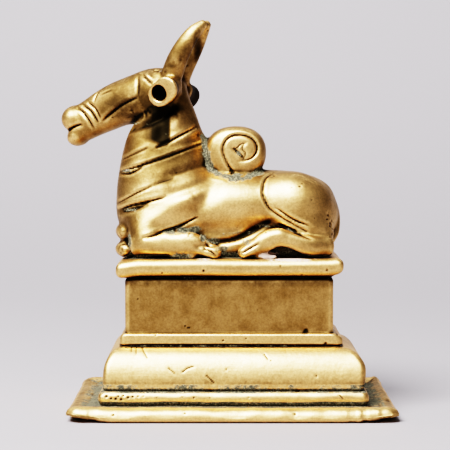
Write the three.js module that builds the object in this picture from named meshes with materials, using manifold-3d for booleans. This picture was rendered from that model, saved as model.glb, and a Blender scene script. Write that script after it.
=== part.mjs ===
// A small cast brass Nandi, a bull at rest on a slab and a moulded plinth, as one solid.
// Millimetres, +Z up, head towards -X, tail towards +X. The origin is the middle of the underside.
import * as THREE from 'three';
import { mergeVertices } from 'three/addons/utils/BufferGeometryUtils.js';
import Module from 'manifold-3d';

const wasm = await Module();
wasm.setup();

// Driving sizes of the figure. Its pose and carving are shares of its height.
const FIGURE_HEIGHT = 62.8;
const DRAWN_HEIGHT = 62.8;
const FOOTPRINT_LENGTH_SHARE = 0.924;
const FOOTPRINT_DEPTH_SHARE = 0.512;
const HEAD_TURN_DEGREES = 19;

// Driving sizes of the plinth, from the slab down.
const SLAB_MARGIN = 0.6;
const SLAB_THICKNESS = 4.4;
const SLAB_EDGE_RADIUS = 1.9;
const SLAB_OVERHANG = 2.3;
const UNDERCUT_HEIGHT = 1.0;
const UNDERCUT_DEPTH = 0.5;
const DIE_HEIGHT = 14.1;
const FILLET_HEIGHT = 3.0;
const FILLET_PROJECTION = 0.9;
const QUIRK_HEIGHT = 0.6;
const QUIRK_DEPTH = 0.6;
const OVOLO_HEIGHT = 10.25;
const OVOLO_PROJECTION = 5.7;
const BEAD_RADIUS = 1.45;
const BEAD_HALF_HEIGHT = 1.9;
const BEAD_PROJECTION = 1.2;
const CHANNEL_WIDTH = 2.87;
const CHANNEL_HEIGHT = 3.0;
const CHANNEL_RISE = 0.2;
const RIM_WIDTH = 2.4;
const RIM_RISE = 2.5;
const RIM_FOOT_SHARE = 1.7;
const RIM_TURN_DEGREES = 112;
const RIM_STAND = 0.7;
const FOOT_END_EXTRA = 0.5;
const HEAD_END_FULLNESS = 0.5;
const TAIL_END_FULLNESS = 1.6;
const FULLNESS_RISE = 7;
const FULLNESS_FALL = 1.5;
const CORNER_RADIUS = 1.0;
const FOOT_CORNER_RADIUS = 3.4;
const UPPER_SHIFT = -1.1;
const CORNER_CURL = 2.1;
const CORNER_CREST_CURL = 0.7;
const CURL_REACH = 11;

const BRASS = { color: 0xb88c47, roughness: 0.36, metalness: 1 };

const unit = FIGURE_HEIGHT / DRAWN_HEIGHT;
const AXIS_X = new THREE.Vector3(1, 0, 0);
const AXIS_Y = new THREE.Vector3(0, 1, 0);
const AXIS_Z = new THREE.Vector3(0, 0, 1);

// Closed skins and solids

function middleOf(ring) {
  const sum = new THREE.Vector3();
  for (const point of ring) sum.add(point);
  return sum.divideScalar(ring.length);
}

// A closed body over rings of points, closed at each end by a fan to an apex.
function skin(rings, firstApex = middleOf(rings[0]), lastApex = middleOf(rings.at(-1))) {
  const sides = rings[0].length;
  const rows = rings.length + 1;
  const geometry = new THREE.SphereGeometry(1, sides, rows);
  const position = geometry.attributes.position;
  for (let row = 0; row <= rows; row++) {
    for (let side = 0; side <= sides; side++) {
      let point = firstApex;
      if (row === rows) point = lastApex;
      else if (row > 0) point = rings[row - 1][side % sides];
      position.setXYZ(row * (sides + 1) + side, point.x, point.y, point.z);
    }
  }
  return geometry;
}

function signedVolume(position, index) {
  const a = new THREE.Vector3();
  const b = new THREE.Vector3();
  const c = new THREE.Vector3();
  let total = 0;
  for (let i = 0; i < index.count; i += 3) {
    a.fromBufferAttribute(position, index.getX(i));
    b.fromBufferAttribute(position, index.getX(i + 1));
    c.fromBufferAttribute(position, index.getX(i + 2));
    total += a.dot(b.cross(c)) / 6;
  }
  return total;
}

function solid(geometry) {
  geometry.deleteAttribute('normal');
  geometry.deleteAttribute('uv');
  const merged = mergeVertices(geometry, 1e-5);
  const triVerts = new Uint32Array(merged.index.array);
  if (signedVolume(merged.attributes.position, merged.index) < 0) {
    for (let i = 0; i < triVerts.length; i += 3) {
      const first = triVerts[i];
      triVerts[i] = triVerts[i + 1];
      triVerts[i + 1] = first;
    }
  }
  const vertProperties = new Float32Array(merged.attributes.position.array);
  return new wasm.Manifold(new wasm.Mesh({ numProp: 3, vertProperties, triVerts }));
}

function toGeometry(manifold) {
  const mesh = manifold.getMesh();
  const geometry = new THREE.BufferGeometry();
  geometry.setAttribute('position', new THREE.BufferAttribute(new Float32Array(mesh.vertProperties), 3));
  geometry.setIndex(new THREE.BufferAttribute(new Uint32Array(mesh.triVerts), 1));
  return geometry;
}

function joined(parts) {
  return parts.reduce((whole, part) => whole.add(part));
}

function mirroredY(geometry) {
  return geometry.clone().applyMatrix4(new THREE.Matrix4().makeScale(1, -1, 1));
}

function bothSides(geometry) {
  return [solid(mirroredY(geometry)), solid(geometry)];
}

// Limbs: a section that changes along a spine

// A station is [x, y, z, half width, half depth], in the figure's drawn sizes.
// The width lies along "across", the depth square to it and to the spine.
function limb(
  stations, { sides = 16, rows = 12, across = AXIS_Y, power = 2, startCap = 0, endCap = 0 } = {},
) {
  const spine = new THREE.CatmullRomCurve3(
    stations.map(([x, y, z]) => new THREE.Vector3(x, y, z).multiplyScalar(unit)), false, 'catmullrom', 0.5);
  const sizes = new THREE.CatmullRomCurve3(
    stations.map(([, , , width, depth]) => new THREE.Vector3(width, depth, 0).multiplyScalar(unit)),
    false, 'catmullrom', 0.5);
  const ringAt = (centre, tangent, width, depth) => {
    const wide = across.clone().addScaledVector(tangent, -across.dot(tangent)).normalize();
    const deep = tangent.clone().cross(wide);
    return Array.from({ length: sides }, (_, side) => {
      const angle = (side / sides) * 2 * Math.PI;
      const u = Math.sign(Math.cos(angle)) * Math.abs(Math.cos(angle)) ** (2 / power);
      const v = Math.sign(Math.sin(angle)) * Math.abs(Math.sin(angle)) ** (2 / power);
      return centre.clone().addScaledVector(wide, -u * width).addScaledVector(deep, v * depth);
    });
  };
  const rings = [];
  for (let row = 0; row <= rows; row++) {
    const size = sizes.getPoint(row / rows);
    rings.push(ringAt(spine.getPoint(row / rows), spine.getTangent(row / rows), size.x, size.y));
  }
  const capAngles = [Math.PI / 6, Math.PI / 3];
  const apexes = [];
  for (const [end, cap] of [[0, startCap], [1, endCap]]) {
    const centre = spine.getPoint(end);
    const tangent = spine.getTangent(end);
    const size = sizes.getPoint(end);
    const outward = tangent.clone().multiplyScalar(end === 0 ? -cap * unit : cap * unit);
    apexes.push(centre.clone().add(outward));
    if (cap === 0) continue;
    for (const angle of capAngles) {
      const shrink = Math.cos(angle);
      const at = centre.clone().addScaledVector(outward, Math.sin(angle));
      const ring = ringAt(at, tangent, size.x * shrink, size.y * shrink);
      if (end === 0) rings.unshift(ring);
      else rings.push(ring);
    }
  }
  return skin(rings, apexes[0], apexes[1]);
}

function ellipsoid({ x, y, z, radiusX, radiusY, radiusZ, lean }, sides, rows) {
  const geometry = new THREE.SphereGeometry(1, sides, rows).rotateX(Math.PI / 2);
  geometry.applyMatrix4(new THREE.Matrix4().makeScale(radiusX * unit, radiusY * unit, radiusZ * unit));
  geometry.applyMatrix4(new THREE.Matrix4().makeRotationY(lean));
  geometry.translate(x * unit, y * unit, z * unit);
  return geometry;
}

// The figure, drawn with its own origin in the middle of the slab's top

const BODY = [
  [-20, 0, 12.4, 10.4, 9.4],
  [-14, 0, 13.2, 11.8, 10.1],
  [-6, 0, 13.4, 12.8, 10.2],
  [2, 0, 13.9, 13.0, 9.7],
  [9, 0, 14.2, 12.4, 8.9],
  [16, 0, 13.4, 12.2, 9.4],
  [22, 0, 11.3, 11.6, 9.5],
  [25.7, 0, 9.7, 9.8, 7.2],
  [27.8, 0, 9.0, 6.8, 5.0],
];

const NECK = [
  [-16.4, 0, 3, 11.2, 10.6],
  [-16.9, 0, 7, 12.0, 11.2],
  [-17.2, 0, 10.5, 12.2, 13.2],
  [-17.2, 0, 16, 11.6, 13.3],
  [-17.3, 0, 22.5, 10.2, 12.6],
  [-17.4, 0, 28, 8.7, 11.2],
  [-16.4, 0, 33.5, 7.4, 9.8],
  [-15.9, 0, 38, 6.5, 7.4],
  [-16.2, 0.2, 42, 6.0, 5.6],
  [-16.4, 0.4, 46, 5.6, 5.3],
];

const HEAD_PIVOT = [-16.65, 0.5];
const HEAD = [
  [-14, 0.5, 43.8, 5.6, 5.8],
  [-19.5, 0.5, 43.5, 6.3, 6.9],
  [-25, 0.5, 42.0, 6.2, 6.7],
  [-30, 0.5, 40.8, 5.3, 6.1],
  [-34.5, 0.5, 38.9, 4.7, 5.75],
  [-38.5, 0.5, 36.9, 4.3, 5.25],
  [-42, 0.5, 35.2, 4.1, 5.0],
  [-43.4, 0.5, 34.5, 3.9, 4.5],
];
const NOSE = { x: -43.4, y: 0.5, z: 36.8, radiusX: 3.9, radiusY: 4.7, radiusZ: 3.6, lean: -0.5 };
const LOWER_LIP = { x: -42.5, y: 0.5, z: 32.0, radiusX: 3.2, radiusY: 4.1, radiusZ: 2.7, lean: -0.4 };

const HORN = [
  [-14.6, -3.0, 46.8, 2.6, 3.0],
  [-13.3, -3.4, 50.2, 2.5, 2.95],
  [-11.7, -3.9, 53.4, 2.35, 2.75],
  [-9.7, -3.8, 56.8, 2.1, 2.4],
  [-7.7, -2.8, 59.8, 1.75, 1.95],
  [-5.7, -1.2, 61.8, 1.3, 1.25],
];

const EAR_BASE = [-14.1, -3.0, 45.1];
const EAR_RIM = [-15.2, -10.4, 43.2];
const EAR_RADIUS = 3.5;
const EAR_ROOT_RADIUS = 3.2;
const EAR_HOLE_RADIUS = 2.1;
const EAR_HOLE_DEPTH = 4.2;
const EAR_LOBE = 2.9;
const FAR_EAR_LOBE = 1.0;
const EAR_LOBE_DEGREES = 145;
const FAR_EAR_SHIFT = [0.1, 0, -0.5];
const EAR_HOLE_EDGE = 0.2;

const HUMP_HALF_THICKNESS = 6.7;
const HUMP = [1.8, 27.65, 8.15, 7.0];
const HUMP_SHARES = [
  [-0.93, 0.72],
  [-0.7, 0.93],
  [-0.35, 1],
  [0.35, 1],
  [0.7, 0.93],
  [0.93, 0.72],
];

const HAUNCH = { x: 17.6, y: 5.6, z: 14.0, radiusX: 10.5, radiusY: 8.4, radiusZ: 8.7, lean: 0.3 };
const SHOULDER = { x: -13.0, y: 4.6, z: 13.6, radiusX: 12.0, radiusY: 8.4, radiusZ: 9.6, lean: -0.3 };

const UPPER_FORELEG = [
  [-12, 6.6, 12.6, 6.0, 6.6],
  [-18.5, 7.8, 9.4, 5.2, 5.6],
  [-24.2, 8.6, 6.0, 4.2, 4.4],
];
const FORELEG = [
  [-25.0, 10.6, 3.9, 3.2, 3.8],
  [-21, 12.2, 3.8, 2.8, 3.1],
  [-13, 13.3, 4.1, 2.6, 3.0],
  [-9.5, 13.5, 3.9, 2.5, 2.9],
  [-6.6, 13.6, 2.8, 2.2, 2.1],
  [-3.8, 13.6, 1.7, 2.4, 1.8],
];

const SHANK = [
  [12.6, 8.4, 11.4, 4.4, 3.0],
  [18, 8.9, 9.6, 4.7, 4.4],
  [22.8, 8.9, 7.4, 4.5, 4.4],
  [25.4, 8.8, 5.2, 3.6, 3.4],
];
const HIND_LEG = [
  [25.6, 10.8, 3.4, 2.7, 2.7],
  [21.3, 12.7, 3.7, 2.5, 2.2],
  [16.3, 13.4, 4.9, 2.4, 2.2],
  [12.4, 13.6, 5.6, 2.4, 2.5],
  [9.4, 13.6, 4.5, 2.4, 2.7],
  [6.4, 13.7, 2.9, 2.1, 2.0],
  [3.6, 13.7, 1.6, 2.3, 1.5],
];

const TAIL = [
  [22.5, 0, 20.2, 1.2, 1.0],
  [26.6, 0, 16.6, 1.2, 1.0],
  [28.9, -0.6, 11.5, 1.1, 0.9],
  [28.7, -2.4, 6.6, 1.2, 0.9],
  [26.8, -5.4, 4.2, 1.7, 1.3],
];

const WEB = { x: -6.4, y: 0, z: 25.8, radiusX: 3.4, radiusY: 4.8, radiusZ: 6.2, lean: 0 };

const BELLS = [
  { x: -28.2, y: -1.0, z: 6.5, radiusX: 2.2, radiusY: 3.6, radiusZ: 2.4, lean: 0 },
  { x: -28.3, y: -1.0, z: 1.8, radiusX: 2.2, radiusY: 3.6, radiusZ: 2.2, lean: 0 },
];

// Chased lines on the near side, each as [x, z] points in the figure's drawn sizes, seen from the side.
const NECK_PLEATS = [
  [[-29.0, 25.3], [-25.2, 27.2], [-21.7, 28.4]],
  [[-19.6, 28.7], [-12.5, 32.7], [-8.8, 34.3]],
  [[-29.3, 22.6], [-21.1, 24.6], [-14.3, 26.9], [-7.5, 29.6]],
  [[-30.2, 13.7], [-22.1, 18.0], [-13.2, 20.8]],
  [[-30.0, 11.5], [-21.3, 14.5], [-16.6, 15.8], [-10.5, 18.2]],
];
const HAUNCH_LINE = [
  [11.8, 22.2], [9.6, 20.7], [8.8, 17.6], [9.3, 15.1], [10.7, 12.7], [13.8, 10.4], [20.3, 6.8],
];
const THIGH_LINES = [
  [[12.0, 13.2], [16.9, 9.9], [20.8, 8.4]],
  [[13.0, 8.9], [17.0, 7.6], [21.4, 6.0]],
];
const LEG_LINE = [[-22.4, 5.2], [-17.9, 6.7], [-13.4, 8.0], [-8.4, 10.5]];
const HUMP_SCROLL = [
  [0.9, 22.5], [-0.6, 24.8], [-1.7, 27.7], [-1.3, 30.0], [0.2, 31.7], [2.8, 32.3],
  [5.5, 31.6], [7.2, 29.9], [7.4, 27.8], [6.3, 26.2], [4.5, 25.6], [2.5, 27.2], [1.7, 28.2],
  [2.3, 29.2], [4.1, 29.9],
];
const MUZZLE_BANDS = [
  [[-41.4, 39.5], [-39.8, 38.4], [-38.1, 36.2], [-36.6, 33.9]],
  [[-39.8, 40.2], [-37.8, 38.8], [-36.4, 36.9], [-35.4, 35.4]],
  [[-38.2, 40.9], [-36.4, 39.4], [-34.7, 36.7]],
];
const CHEEK_LINE = [[-34.1, 36.0], [-31.7, 37.9], [-28.9, 40.0], [-24.8, 42.0]];
const MOUTH = [[-44.4, 33.1], [-42.0, 34.3], [-40.1, 35.0]];
const FACE_LINES = [
  [[-36.5, 41.2], [-36.0, 42.7], [-35.2, 43.7]],
  [[-24.9, 47.5], [-25.1, 44.8], [-24.8, 42.2]],
  [[-22.8, 47.8], [-21.0, 46.0]],
];
const HOOF_SLITS = [
  [[-6.4, 2.6], [-4.6, 1.6], [-3.4, 0.6]],
  [[7.5, 3.8], [4.9, 2.3], [3.2, 1.2]],
];

// How far a cut starts above the surface, so that no shaving is left over the groove.
const CHISEL_LIFT = 0.9;

// The far side carries the plainer part of the same chasing.
const CHASING = [
  { lines: NECK_PLEATS, width: 1.1, depth: 0.85, steps: 4, mirror: 'body' },
  { lines: [HAUNCH_LINE], width: 0.9, depth: 0.75, steps: 9, mirror: 'body' },
  { lines: THIGH_LINES, width: 0.9, depth: 0.75, steps: 4, mirror: 'none' },
  { lines: [LEG_LINE], width: 1.2, depth: 0.9, steps: 5, mirror: 'none' },
  { lines: [HUMP_SCROLL], width: 0.9, depth: 0.7, steps: 16, mirror: 'body' },
  { lines: MUZZLE_BANDS, width: 0.75, depth: 0.55, steps: 3, mirror: 'head' },
  { lines: [CHEEK_LINE, MOUTH], width: 0.9, depth: 0.7, steps: 4, mirror: 'head' },
  { lines: FACE_LINES, width: 0.7, depth: 0.5, steps: 3, mirror: 'none' },
  { lines: HOOF_SLITS, width: 0.8, depth: 0.7, steps: 3, mirror: 'none' },
];

function body() {
  return solid(limb(BODY, { sides: 16, rows: 8, startCap: 4, endCap: 1.3 }));
}

// The belly rests on the slab, narrower than the barrel above it.
function belly() {
  return solid(limb([
    [-22, 0, 3.2, 10.5, 5.4],
    [-8, 0, 3.2, 11.4, 5.4],
    [8, 0, 3.6, 11.0, 5.8],
    [22, 0, 3.4, 10.2, 5.6],
  ], { sides: 12, rows: 3, power: 2.6, startCap: 3, endCap: 4 }));
}

function neck() {
  return solid(limb(NECK, { sides: 18, rows: 8, startCap: 1, endCap: 3 }));
}

function hump() {
  const [x, z, radiusX, radiusZ] = HUMP;
  const stations = HUMP_SHARES.map(([along, share]) => [
    x, along * HUMP_HALF_THICKNESS, z, radiusX * share, radiusZ * share,
  ]);
  return solid(limb(stations, {
    sides: 16, rows: 5, across: AXIS_X, power: 2.5, startCap: 0.7, endCap: 0.7,
  }));
}

function rounds(shape) {
  return bothSides(ellipsoid(shape, 14, 8));
}

function legs() {
  const options = { sides: 8, rows: 5 };
  return [
    ...bothSides(limb(UPPER_FORELEG, { ...options, rows: 4, startCap: 3, endCap: 2.6 })),
    ...bothSides(limb(FORELEG, { ...options, power: 2.3, startCap: 2.4, endCap: 1.9 })),
    ...bothSides(limb(SHANK, { ...options, rows: 4, startCap: 3, endCap: 2.4 })),
    ...bothSides(limb(HIND_LEG, { ...options, power: 2.3, startCap: 2.0, endCap: 1.4 })),
  ];
}

function tail() {
  return solid(limb(TAIL, { sides: 6, rows: 5, startCap: 1, endCap: 1.6 }));
}

function bells() {
  return BELLS.map((shape) => solid(ellipsoid(shape, 8, 6)));
}

// The cup's wall runs out to a leaf's point at the back, the most at its rim.
function leafed(geometry, lobe, length) {
  const position = geometry.attributes.position;
  for (let i = 0; i < position.count; i++) {
    const radius = Math.hypot(position.getX(i), position.getZ(i));
    if (radius < (EAR_HOLE_RADIUS + EAR_HOLE_EDGE) * unit) continue;
    const angle = Math.atan2(position.getZ(i), position.getX(i)) - THREE.MathUtils.degToRad(EAR_LOBE_DEGREES);
    const point = Math.max(0, Math.cos(angle)) ** 2;
    const stretch = 1 + (lobe * unit * point * (position.getY(i) / length)) / radius;
    position.setXYZ(i, position.getX(i) * stretch, position.getY(i), position.getZ(i) * stretch);
  }
  return geometry;
}

// One ear is a short turned cup, set on its side.
function ear(lobe) {
  const base = new THREE.Vector3(...EAR_BASE).multiplyScalar(unit);
  const rim = new THREE.Vector3(...EAR_RIM).multiplyScalar(unit);
  const length = base.distanceTo(rim);
  const wall = (EAR_RADIUS - EAR_HOLE_RADIUS) * unit;
  const lip = wall / 2;
  const profile = new THREE.Path();
  profile.moveTo(0, 0);
  profile.lineTo(EAR_ROOT_RADIUS * unit, 0);
  profile.quadraticCurveTo(EAR_RADIUS * unit, length * 0.5, EAR_RADIUS * unit, length - lip);
  profile.absarc(EAR_RADIUS * unit - lip, length - lip, lip, 0, Math.PI, false);
  profile.lineTo(EAR_HOLE_RADIUS * unit * 0.8, length - EAR_HOLE_DEPTH * unit);
  profile.lineTo(0, length - EAR_HOLE_DEPTH * unit);
  const geometry = leafed(new THREE.LatheGeometry(profile.getPoints(2), 11), lobe, length);
  const outward = rim.clone().sub(base).normalize();
  const side = outward.clone().cross(AXIS_Z).normalize();
  const up = side.clone().cross(outward);
  geometry.applyMatrix4(new THREE.Matrix4().makeBasis(side, outward, up));
  return geometry.translate(base.x, base.y, base.z);
}

// The head is drawn straight ahead and turned about the top of the neck.
function headTurn() {
  const [x, y] = HEAD_PIVOT.map((value) => value * unit);
  return new THREE.Matrix4().makeTranslation(x, y, 0)
    .multiply(new THREE.Matrix4().makeRotationZ(-THREE.MathUtils.degToRad(HEAD_TURN_DEGREES)))
    .multiply(new THREE.Matrix4().makeTranslation(-x, -y, 0));
}

function headParts() {
  const turn = headTurn();
  const straight = new THREE.Matrix4().makeTranslation(0, HEAD_PIVOT[1] * unit, 0);
  const skull = limb(HEAD, { sides: 14, rows: 7, power: 2.2, startCap: 2, endCap: 1.0 });
  const muzzle = [ellipsoid(NOSE, 11, 6), ellipsoid(LOWER_LIP, 10, 6)];
  const horn = limb(HORN, { sides: 8, rows: 5, startCap: 1, endCap: 0.9 });
  const farEarShift = FAR_EAR_SHIFT.map((value) => value * unit);
  const farEar = mirroredY(ear(FAR_EAR_LOBE)).translate(...farEarShift);
  const paired = [horn, mirroredY(horn), ear(EAR_LOBE), farEar];
  for (const part of paired) part.applyMatrix4(straight);
  return [skull, ...muzzle, ...paired].map((part) => solid(part.applyMatrix4(turn)));
}

// Chased lines: a V cut that follows the surface

function tracer(manifold) {
  const geometry = toGeometry(manifold);
  const mesh = new THREE.Mesh(geometry, new THREE.MeshBasicMaterial({ side: THREE.DoubleSide }));
  const ray = new THREE.Raycaster();
  return (x, z) => {
    ray.set(new THREE.Vector3(x, -FIGURE_HEIGHT, z), AXIS_Y);
    const hit = ray.intersectObject(mesh)[0];
    return hit ? { point: hit.point, normal: hit.face.normal.clone() } : null;
  };
}

function traced(points, trace, steps) {
  const curve = new THREE.CatmullRomCurve3(
    points.map(([x, z]) => new THREE.Vector3(x * unit, 0, z * unit)), false, 'centripetal');
  return curve.getSpacedPoints(steps).map((point) => trace(point.x, point.z)).filter(Boolean);
}

// The body is the same on both sides of its middle, and the head on both sides of its own, turned middle.
function mirrorPlane(name) {
  if (name === 'body') return new THREE.Plane(AXIS_Y, 0);
  const pivot = new THREE.Vector3(HEAD_PIVOT[0], HEAD_PIVOT[1], 0).multiplyScalar(unit);
  const across = AXIS_Y.clone().transformDirection(headTurn());
  return new THREE.Plane().setFromNormalAndCoplanarPoint(across, pivot);
}

function mirroredHits(hits, plane) {
  return hits.map(({ point, normal }) => ({
    point: point.clone().addScaledVector(plane.normal, -2 * plane.distanceToPoint(point)),
    normal: normal.clone().addScaledVector(plane.normal, -2 * plane.normal.dot(normal)),
  }));
}

function chisel(hits, width, depth) {
  const lift = CHISEL_LIFT * unit;
  const widen = (depth + lift) / depth;
  const rings = hits.map(({ point, normal }, i) => {
    const before = hits[Math.max(i - 1, 0)].point;
    const after = hits[Math.min(i + 1, hits.length - 1)].point;
    const along = after.clone().sub(before).normalize();
    const side = normal.clone().cross(along).normalize();
    const ease = 0.2 + 0.8 * Math.sin((Math.PI * i) / (hits.length - 1)) ** 0.5;
    const half = (width * widen * ease) / 2;
    return [
      point.clone().addScaledVector(side, half).addScaledVector(normal, lift),
      point.clone().addScaledVector(normal, -depth * ease),
      point.clone().addScaledVector(side, -half).addScaledVector(normal, lift),
    ];
  });
  return solid(skin(rings));
}

// The plinth

// A rounded rectangle seen from above, with the same number of points whatever its size.
function rectangleRing(halfX, halfY, corner, centreX, height, sideSteps, lift = () => 0) {
  const ring = [];
  const cornerSteps = 2;
  const centres = [[-1, 1], [1, 1], [1, -1], [-1, -1]];
  centres.forEach(([signX, signY], quarter) => {
    const start = Math.PI - (quarter * Math.PI) / 2;
    const next = centres[(quarter + 1) % 4];
    for (let step = 0; step <= cornerSteps; step++) {
      const angle = start - (step / cornerSteps) * (Math.PI / 2);
      ring.push([
        signX * (halfX - corner) + corner * Math.cos(angle),
        signY * (halfY - corner) + corner * Math.sin(angle),
      ]);
    }
    const from = ring.at(-1);
    const endAngle = start - Math.PI / 2;
    const to = [
      next[0] * (halfX - corner) + corner * Math.cos(endAngle),
      next[1] * (halfY - corner) + corner * Math.sin(endAngle),
    ];
    for (let step = 1; step < sideSteps; step++) {
      const share = step / sideSteps;
      ring.push([from[0] + (to[0] - from[0]) * share, from[1] + (to[1] - from[1]) * share]);
    }
  });
  return ring.map(([x, y]) => new THREE.Vector3(x + centreX, y, height + lift(x, y)));
}

const slabHalfX = (FIGURE_HEIGHT * FOOTPRINT_LENGTH_SHARE) / 2 + SLAB_MARGIN;
const slabHalfY = (FIGURE_HEIGHT * FOOTPRINT_DEPTH_SHARE) / 2 + SLAB_MARGIN;
const dieHalfX = slabHalfX - SLAB_OVERHANG;
const dieHalfY = slabHalfY - SLAB_OVERHANG;

const beadMiddle = CHANNEL_HEIGHT + CHANNEL_RISE + BEAD_HALF_HEIGHT;
const ovoloFoot = beadMiddle + BEAD_HALF_HEIGHT + QUIRK_HEIGHT;
const ovoloTop = ovoloFoot + OVOLO_HEIGHT;
const filletFoot = ovoloTop + QUIRK_HEIGHT;
const dieFoot = filletFoot + FILLET_HEIGHT;
const dieTop = dieFoot + DIE_HEIGHT;
const slabFoot = dieTop + UNDERCUT_HEIGHT;
const slabTop = slabFoot + SLAB_THICKNESS;

const ovoloReach = FILLET_PROJECTION + OVOLO_PROJECTION;
const beadReach = ovoloReach + BEAD_PROJECTION;
const flangeReach = beadReach + CHANNEL_WIDTH + RIM_WIDTH * RIM_FOOT_SHARE;

// The upper steps sit a little off the middle of the foot, and the ovolo takes up the difference.
function centreAt(projection) {
  const share = THREE.MathUtils.clamp((ovoloReach - projection) / OVOLO_PROJECTION, 0, 1);
  return UPPER_SHIFT * share;
}

function mouldingProfile() {
  const profile = [];
  profile.push([beadReach - BEAD_RADIUS * 1.6, CHANNEL_HEIGHT - RIM_STAND]);
  profile.push([beadReach - BEAD_RADIUS, CHANNEL_HEIGHT + CHANNEL_RISE]);
  for (let step = 1; step <= 4; step++) {
    const angle = -Math.PI / 2 + (step / 5) * Math.PI;
    profile.push([
      beadReach - BEAD_RADIUS + BEAD_RADIUS * Math.cos(angle),
      beadMiddle + BEAD_HALF_HEIGHT * Math.sin(angle),
    ]);
  }
  profile.push([ovoloReach - QUIRK_DEPTH, ovoloFoot - QUIRK_HEIGHT]);
  profile.push([ovoloReach - QUIRK_DEPTH, ovoloFoot - QUIRK_HEIGHT / 3]);
  for (let step = 0; step <= 6; step++) {
    const angle = (step / 6) * (Math.PI / 2);
    profile.push([
      FILLET_PROJECTION + OVOLO_PROJECTION * Math.cos(angle),
      ovoloFoot + OVOLO_HEIGHT * Math.sin(angle),
    ]);
  }
  profile.push([FILLET_PROJECTION - QUIRK_DEPTH, ovoloTop + QUIRK_HEIGHT / 2]);
  profile.push([FILLET_PROJECTION * 0.8, filletFoot]);
  profile.push([FILLET_PROJECTION, filletFoot + FILLET_HEIGHT * 0.25]);
  profile.push([FILLET_PROJECTION, dieFoot - FILLET_HEIGHT * 0.25]);
  profile.push([FILLET_PROJECTION * 0.7, dieFoot]);
  profile.push([0, dieFoot + FILLET_HEIGHT * 0.1]);
  profile.push([0, dieTop - UNDERCUT_HEIGHT / 2]);
  profile.push([-UNDERCUT_DEPTH, dieTop + UNDERCUT_HEIGHT / 2]);
  profile.push([SLAB_OVERHANG - SLAB_EDGE_RADIUS, slabFoot]);
  for (let step = 0; step <= 5; step++) {
    const angle = -Math.PI / 2 + (step / 5) * Math.PI;
    const middle = step < 3 ? slabFoot + SLAB_EDGE_RADIUS : slabTop - SLAB_EDGE_RADIUS;
    profile.push([
      SLAB_OVERHANG - SLAB_EDGE_RADIUS + SLAB_EDGE_RADIUS * Math.cos(angle),
      middle + SLAB_EDGE_RADIUS * Math.sin(angle),
    ]);
  }
  return profile;
}

// The ovolo and the fillet are fuller at the ends, above all under the tail.
function fullnessAt(height) {
  const rise = THREE.MathUtils.clamp((height - ovoloFoot) / FULLNESS_RISE, 0, 1);
  const fall = THREE.MathUtils.clamp((dieFoot - height) / FULLNESS_FALL, 0, 1);
  return rise * fall;
}

function upperPlinth() {
  return solid(skin(mouldingProfile().map(([projection, height]) => {
    const fullness = fullnessAt(height);
    const halfX = dieHalfX + projection + (fullness * (HEAD_END_FULLNESS + TAIL_END_FULLNESS)) / 2;
    const centreX = centreAt(projection) + (fullness * (TAIL_END_FULLNESS - HEAD_END_FULLNESS)) / 2;
    return rectangleRing(halfX, dieHalfY + projection, CORNER_RADIUS, centreX, height, 1);
  })));
}

// The foot is a shallow tray whose rim stands up round a channel, with corners that curl off the ground.
function foot() {
  const halfX = dieHalfX + flangeReach + FOOT_END_EXTRA;
  const halfY = dieHalfY + flangeReach;
  const curl = (x, y) => {
    const nearX = THREE.MathUtils.clamp(1 - (halfX - Math.abs(x)) / CURL_REACH, 0, 1);
    const nearY = THREE.MathUtils.clamp(1 - (halfY - Math.abs(y)) / CURL_REACH, 0, 1);
    return (nearX * nearY) ** 1.3;
  };
  const rimMiddle = CHANNEL_HEIGHT + RIM_STAND - RIM_RISE;
  const levels = [
    [CURL_REACH + 1, 0, CORNER_CURL],
    [CURL_REACH * 0.4, 0, CORNER_CURL],
    [RIM_WIDTH * 0.5, 0, CORNER_CURL],
    [RIM_WIDTH * 0.12, rimMiddle * 0.4, CORNER_CURL],
  ];
  for (let step = 0; step <= 4; step++) {
    const angle = (step / 4) * THREE.MathUtils.degToRad(RIM_TURN_DEGREES);
    levels.push([
      RIM_WIDTH - RIM_WIDTH * Math.cos(angle),
      rimMiddle + RIM_RISE * Math.sin(angle),
      step === 0 ? (CORNER_CURL + CORNER_CREST_CURL) / 2 : CORNER_CREST_CURL,
    ]);
  }
  levels.push([RIM_WIDTH * RIM_FOOT_SHARE, CHANNEL_HEIGHT, CORNER_CREST_CURL]);
  levels.push([flangeReach - beadReach, CHANNEL_HEIGHT + CHANNEL_RISE, 0]);
  levels.push([flangeReach - ovoloReach, CHANNEL_HEIGHT + CHANNEL_RISE, 0]);
  return solid(skin(levels.map(([inset, height, lift]) => rectangleRing(
    halfX - inset, halfY - inset, Math.max(FOOT_CORNER_RADIUS - inset, CORNER_RADIUS), 0, height, 5,
    (x, y) => lift * curl(x, y)))));
}

// The whole casting

function figure() {
  const plain = joined([
    body(), belly(), neck(), hump(), ...rounds(HAUNCH), ...rounds(SHOULDER),
    solid(ellipsoid(WEB, 12, 8)), ...legs(), tail(), ...bells(), ...headParts(),
  ]);
  const trace = tracer(plain);
  const cuts = [];
  for (const { lines, width, depth, steps, mirror } of CHASING) {
    for (const line of lines) {
      const hits = traced(line, trace, steps);
      const sides = mirror === 'none' ? [hits] : [hits, mirroredHits(hits, mirrorPlane(mirror))];
      for (const side of sides) cuts.push(chisel(side, width * unit, depth * unit));
    }
  }
  return cuts.reduce((whole, cut) => whole.subtract(cut), plain);
}

function casting() {
  const placed = toGeometry(figure()).translate(UPPER_SHIFT, 0, slabTop);
  return joined([foot(), upperPlinth(), solid(placed)]);
}

function named(name, geometry) {
  geometry.computeVertexNormals();
  const mesh = new THREE.Mesh(geometry, new THREE.MeshStandardMaterial(BRASS));
  mesh.name = name;
  return mesh;
}

const model = new THREE.Group();
model.add(named('nandi_bull_on_plinth', toGeometry(casting())));

export default model;
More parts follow.
